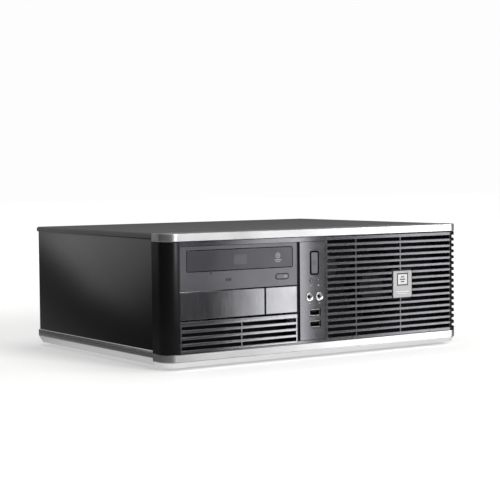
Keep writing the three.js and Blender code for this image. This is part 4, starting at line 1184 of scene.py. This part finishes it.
# ---------------------------------------------------------------------- inside
def board():
    z = 15.6
    mats = ["pcb", "black", "alu", "chrome", "white_plastic", "gold", "sleeve", "zinc", "amber", "blue"]

    def chip(bm, x0, x1, y0, y1, h=1.6, along="x"):
        bm_box(bm, x0, x1, y0, y1, z + 0.15, z + h, 1)
        n = int(((x1 - x0) if along == "x" else (y1 - y0)) / 1.27) - 1
        for k in range(n):
            t = 0.9 + k * 1.27
            if along == "x":
                for a, b in ((y0 - 1.0, y0 + 0.1), (y1 - 0.1, y1 + 1.0)):
                    bm_box(bm, x0 + t, x0 + t + 0.45, a, b, z, z + h * 0.45, 3)
            else:
                for a, b in ((x0 - 1.0, x0 + 0.1), (x1 - 0.1, x1 + 1.0)):
                    bm_box(bm, a, b, y0 + t, y0 + t + 0.45, z, z + h * 0.45, 3)

    def sheet(bm):
        bm_box(bm, 150, 389, 62, 300, 14, z, 0)
    piece("board_sheet", "case", "pcb", sheet, slot="board_green", replaces="motherboard", bevel=0.15, seg=1)

    def parts(bm):
        for x, y in ((158, 72), (158, 288), (380, 72), (380, 288), (270, 80), (270, 280)):
            lathe(bm, "Z", (x, y, 9.1), [(3, 0), (3, 4.9)], 6, 7)
            lathe(bm, "Z", (x, y, z), [(3.6, 0), (3.6, 0.05), (0, 0.06)], 24, 5)
            screw(bm, "Z", (x, y, z), 2.7, 1.5, 3, 1)
        bm_box(bm, 226, 274, 126, 174, z - 0.1, 19.3, 4)
        # bridge cooler
        bm_box(bm, 222, 258, 222, 258, 19, 30, 2)
        bm_box(bm, 225, 255, 225, 255, z - 0.1, 19.1, 1)
        for i in range(5):
            for j in range(5):
                bm_box(bm, 223 + i * 8, 225.5 + i * 8, 222.4 + j * 7.3, 227.6 + j * 7.3, 29.5, 42, 2)
        # memory sockets with latches at the ends
        for x in (328, 342):
            bm_box(bm, x, x + 3.3, 70, 205, z - 0.1, 25, 1)
            bm_box(bm, x + 5.7, x + 9, 70, 205, z - 0.1, 25, 1)
            bm_box(bm, x + 0.4, x + 8.6, 70, 205, z - 0.1, 19.4, 1)
            for y0, y1 in ((68.2, 71.6), (203.6, 207)):
                bm_box(bm, x + 1.4, x + 7.6, y0, y1, z, 31, 4)
        # card sockets
        for x in (322, 348):
            bm_box(bm, x, x + 8, 214, 286, z - 0.1, 26.6, 4 if x == 322 else 1)
            bm_box(bm, x + 3.0, x + 5.0, 216, 284, 26.3, 26.75, 9 if x == 322 else 3)
        # supply socket, its plug, and four drive sockets
        bm_box(bm, 160, 171, 80, 132, z - 0.1, 28, 4)
        bm_box(bm, 160.6, 170.4, 81, 131, 28.0, 36.5, 4)
        bm_box(bm, 159.6, 160.7, 101, 111, 26, 37.5, 4)
        for k in range(12):
            for x in (161.5, 166.2):
                bm_box(bm, x, x + 3.3, 82.2 + k * 4.1, 85.4 + k * 4.1, 36.3, 37.0, 1)
        for k in range(2):
            for j in range(2):
                bm_box(bm, 160.3 + j * 8, 167.4 + j * 8, 150.3 + k * 9.2, 158.6 + k * 9.2, z - 0.1, 23.8, 8 if (j + k) % 2 else 1)
                bm_box(bm, 161.6 + j * 8, 166.2 + j * 8, 153.4 + k * 9.2, 155.2 + k * 9.2, 23.6, 23.95, 3)
        # capacitors
        for x, y in ((196, 118), (196, 132), (196, 146), (196, 160), (210, 200), (224, 200), (300, 120), (300, 134), (300, 200)):
            lathe(bm, "Z", (x, y, z), [(3.6, 0), (4, 0.5), (4, 10.8), (3.75, 11.7), (3.3, 12.1)], 24, 6)
            lathe(bm, "Z", (x, y, z), [(3.35, 12.05), (3.0, 12.2), (0, 12.2)], 24, 2)
            abox(bm, "Z", (x, y, z), -2.4, 2.4, -0.12, 0.12, 12.1, 12.26, 1)
            abox(bm, "Z", (x, y, z), -0.12, 0.12, -2.4, 2.4, 12.1, 12.26, 1)
        # coin cell in its holder
        lathe(bm, "Z", (300, 236, z), [(11.4, 0), (11.4, 2.6), (10.6, 2.8)], 36, 1)
        lathe(bm, "Z", (300, 236, z), [(10.2, 2.2), (10.2, 4.8), (9.6, 5.3), (0, 5.3)], 36, 3)
        # chokes by the processor
        for y in (118, 131, 144, 157):
            bm_box(bm, 202.2, 210.4, y - 4.4, y + 4.4, z, z + 6.5, 1)
        for x0, x1, y0, y1, a in ((184, 212, 238, 266, "x"), (300, 318, 90, 97, "x"), (268, 290, 206, 214, "x"), (180, 192, 206, 214, "x"), (364, 374, 224, 244, "y"),
                                  (364, 371, 120, 132, "y"), (240, 260, 68, 76, "x"), (364, 376, 90, 102, "y"), (300, 312, 158, 170, "y"), (186, 198, 88, 96, "x"), (214, 226, 268, 280, "x")):
            chip(bm, x0, x1, y0, y1, 1.5 if x1 - x0 < 25 else 2.4, a)
        # crystal cans, pin headers, and rows of small parts
        for x, y in ((276, 234), (206, 224), (366, 150)):
            lathe(bm, "Z", (x, y, z), [(2.2, 0), (2.2, 3.2), (1.9, 3.5), (0, 3.5)], 20, 3)
        for x0, y0, n in ((178, 66, 10), (210, 66, 5), (290, 66, 8), (376, 180, 6)):
            bm_box(bm, x0, x0 + 2.54 * n, y0, y0 + 5.1, z, z + 2.5, 1)
            for k in range(n):
                for j in range(2):
                    bm_box(bm, x0 + 0.95 + k * 2.54, x0 + 1.6 + k * 2.54, y0 + 0.95 + j * 2.54, y0 + 1.6 + j * 2.54, z + 2.4, z + 8, 5)
        for i in range(64):
            x = 176 + (i * 37) % 206
            y = 70 + (i * 53 + (i * i * 7) % 31) % 222
            if 205 < x < 295 and 105 < y < 262 or 318 < x < 362:
                continue
            w, d = (2.0, 1.2) if i % 2 else (1.2, 2.0)
            bm_box(bm, x, x + w, y, y + d, z, z + 0.6, 4 if i % 3 else 1)
    piece("board_parts", "case", mats, parts, slot="board_green", bevel=0, weld=False)

    # memory: chips both sides, gold edge
    for n in ("memory_module_a", "memory_module_b"):
        x0, x1, y0, y1, z0, z1 = mmbox(n)

        def module(bm, x0=x0, x1=x1, y0=y0, y1=y1, z0=z0, z1=z1):
            bm_box(bm, x0, x1, y0, y1, z0, z1, 0)
            for k in range(8):
                y = y0 + 5 + k * 15.6
                bm_box(bm, x0 - 1.0, x0 + 0.05, y, y + 10.5, z0 + 13, z0 + 25, 1)
                bm_box(bm, x1 - 0.05, x1 + 1.0, y, y + 10.5, z0 + 13, z0 + 25, 1)
            for k in range(58):
                y = y0 + 3 + k * 2.17
                bm_box(bm, x0 - 0.04, x1 + 0.04, y, y + 1.4, z0 + 0.4, z0 + 7, 5)
        piece(n + "_card", "case", mats, module, slot="board_green", replaces=n, bevel=0, weld=False)


board()


def harness():
    """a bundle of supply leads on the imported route, tied twice"""
    pts = [(128, 195.4, 80), (129, 190.5, 79), (137, 187.5, 70), (156, 188, 56), (176, 180, 47), (184, 156, 42), (182, 128, 39), (172, 108, 38), (166.5, 106, 37.6), (165.6, 106, 35.2)]
    P = [Vector(p) for p in pts]
    path = []
    for i in range(len(P) - 1):
        p0, p1, p2, p3 = P[max(i - 1, 0)], P[i], P[i + 1], P[min(i + 2, len(P) - 1)]
        for k in range(6):
            t = k / 6
            path.append(0.5 * ((2 * p1) + (p2 - p0) * t + (2 * p0 - 5 * p1 + 4 * p2 - p3) * t * t + (3 * p1 - p0 - 3 * p2 + p3) * t ** 3))
    path.append(P[-1])

    def tube(bm, off, r, mat, a=0, b=None, sides=8):
        b = len(path) if b is None else b
        nx = Vector((0.31, 0.2, 1)).normalized()
        rings = []
        for i in range(a, b):
            t = (path[min(i + 1, len(path) - 1)] - path[max(i - 1, 0)]).normalized()
            nx = (nx - t * nx.dot(t)).normalized()
            ny = t.cross(nx)
            tw = i * 0.055
            cx, cy = off[0] * math.cos(tw) - off[1] * math.sin(tw), off[0] * math.sin(tw) + off[1] * math.cos(tw)
            c = path[i] + nx * cx + ny * cy
            rings.append([bm.verts.new(R(*(c + nx * r * math.cos(2 * math.pi * k / sides) + ny * r * math.sin(2 * math.pi * k / sides)))) for k in range(sides)])
        for q, w in zip(rings, rings[1:]):
            for k in range(sides):
                bm.faces.new([q[k], q[(k + 1) % sides], w[(k + 1) % sides], w[k]]).material_index = mat
        bm.faces.new(rings[0][::-1]).material_index = mat
        bm.faces.new(rings[-1]).material_index = mat

    def leads(bm):
        offs = [(0, 0)] + [(2.55 * math.cos(math.radians(60 * k)), 2.55 * math.sin(math.radians(60 * k))) for k in range(6)]
        for i, o_ in enumerate(offs):
            tube(bm, o_, 1.28, (0, 1, 2, 0, 3, 0, 4)[i])
        for a in (16, 34):
            tube(bm, (0, 0), 4.1, 5, a, a + 2, 16)
    piece("supply_leads", "case", ["black", "red_wire", "yellow_wire", "orange_wire", "sky", "white_plastic"], leads, slot="black_plastic", replaces="supply_harness", bevel=0, weld=False, angle=60)


M["red_wire"] = plastic("red_wire", (0.42, 0.012, 0.012), rough=0.4, grain=0.1, wear=False)
M["yellow_wire"] = plastic("yellow_wire", (0.62, 0.46, 0.02), rough=0.4, grain=0.1, wear=False)
M["orange_wire"] = plastic("orange_wire", (0.62, 0.16, 0.01), rough=0.4, grain=0.1, wear=False)
harness()


def inner_dressing():
    """stamped lids, screws and blank stickers on the drives, supply and fans"""
    dz = mmbox("drive_case")[5]

    def drive_lid(bm):
        bm_prism(bm, rr_pts(34, 148, 30, 160, 5, 6), "Z", dz - 0.1, dz + 0.7)
        bm_prism(bm, circle_pts(92, 75, 34, 48), "Z", dz + 0.6, dz + 1.2)
        for x in (24, 158):
            for y in (20, 168):
                screw(bm, "Z", (x, y, dz), 2.2, 0.9, 1, 2)
    piece("drive_lid", "case", ["zinc", "chrome", "void"], drive_lid, slot="zinc_steel", bevel=0.3, seg=2, weld=False)

    hz = mmbox("hard_drive")

    def hdd(bm):
        for x in (23.5, 116):
            for y in (45, 100, 170):
                screw(bm, "Z", (x, y, 73.5), 2.0, 0.8, 1, 2)
        bm_prism(bm, rr_pts(30, 110, 124, 148, 1, 3), "Z", 75.2, 75.4, 3)
        for k in range(4):
            bm_box(bm, 34, 34 + (40, 62, 52, 30)[k], 128 + k * 4.6, 129.2 + k * 4.6, 75.38, 75.44, 2)
    piece("hard_drive_lid", "case", ["alu", "chrome", "void", "sticker"], hdd, slot="cast_alu", bevel=0, weld=False)

    sx0, sx1, sy0, sy1, sz0, sz1 = mmbox("supply_case")

    def supply(bm):
        for x, y in ((sx0 + 8, sy0 + 8), (sx1 - 8, sy0 + 8), (sx0 + 8, sy1 - 8), (sx1 - 8, sy1 - 8)):
            screw(bm, "Z", (x, y, sz1), 2.8, 1.0, 1, 2)
        bm_prism(bm, rr_pts(sx0 + 26, sx1 - 26, sy0 + 22, sy1 - 22, 1.2, 3), "Z", sz1 - 0.05, sz1 + 0.12, 3)
        for k in range(6):
            bm_box(bm, sx0 + 32, sx0 + 32 + (70, 58, 66, 40, 62, 30)[k], sy0 + 30 + k * 8, sy0 + 31.4 + k * 8, sz1 + 0.1, sz1 + 0.17, 2)
        # three near-black rounded strips stand for vent slots: painted shade, not cut openings
        for k in range(3):
            bm_prism(bm, rr_pts(sx0 + 18, sx1 - 18, sy0 + 10 + k * 3.4, sy0 + 11.8 + k * 3.4, 0.85, 4), "Z", sz1 - 0.05, sz1 + 0.03, 2)
    piece("supply_lid", "case", ["zinc", "chrome", "void", "sticker"], supply, slot="zinc_steel", bevel=0, weld=False)

    def fan_screws(bm):
        for dx in (-35.8, 35.8):
            for dy in (-35.8, 35.8):
                screw(bm, "Z", (250 + dx, 150 + dy, 80), 3.0, 1.0, 0, 1)
    piece("cooler_screws", "case", ["chrome", "void"], fan_screws, slot="zinc_steel", bevel=0, weld=False)
    cz = mmbox("cpu_fan_frame")[5]

    def hub(bm):
        lathe(bm, "Z", (250, 150, cz), [(12.5, -0.05), (12.5, 0.06), (0, 0.06)], 40, 0)
        lathe(bm, "Z", (250, 150, cz), [(10.6, 0.05), (10.6, 0.09), (9.8, 0.09), (9.8, 0.05)], 40, 1)
    piece("cooler_sticker", "case", ["sticker", "mark"], hub, slot="silver_trim", bevel=0, weld=False)

    def spindle(bm):
        c = (92, 75, 104)
        lathe(bm, "Z", c, [(7.2, 3.45), (6.6, 3.9), (2.2, 3.9), (1.8, 3.4), (0, 3.4)], 32, 0)
        for k in range(3):
            a = math.radians(90 + 120 * k)
            lathe(bm, "Z", (92 + 6.4 * math.cos(a), 75 + 6.4 * math.sin(a), 106.2), [(1.1, 0), (1.1, 0.7), (0.6, 1.1), (0, 1.2)], 12, 1)
    piece("spindle_chuck", "spindle", ["black", "chrome"], spindle, slot="black_plastic", bevel=0, weld=False)

    def pickup(bm):
        lathe(bm, "Z", (92, 99, 96.4), [(3.4, 0), (3.4, 0.25), (2.6, 0.5), (0, 0.75)], 32, 0)
        lathe(bm, "Z", (92, 99, 95), [(5.4, 0), (5.4, 0.5), (4.2, 0.6)], 32, 1)
    piece("pickup_lens", "sled", ["lens", "gold"], pickup, slot="lens", bevel=0, weld=False)

    def rails(bm):
        for x in (80.4, 103.6):
            bm_prism(bm, circle_pts(x, 90.2, 1.3, 16), "Y", 88, 160)
    # two polished rods that the pickup slides on lie just above the deck
    piece("pickup_rods", "case", "chrome", rails, slot="port_metal", bevel=0, angle=50)


inner_dressing()
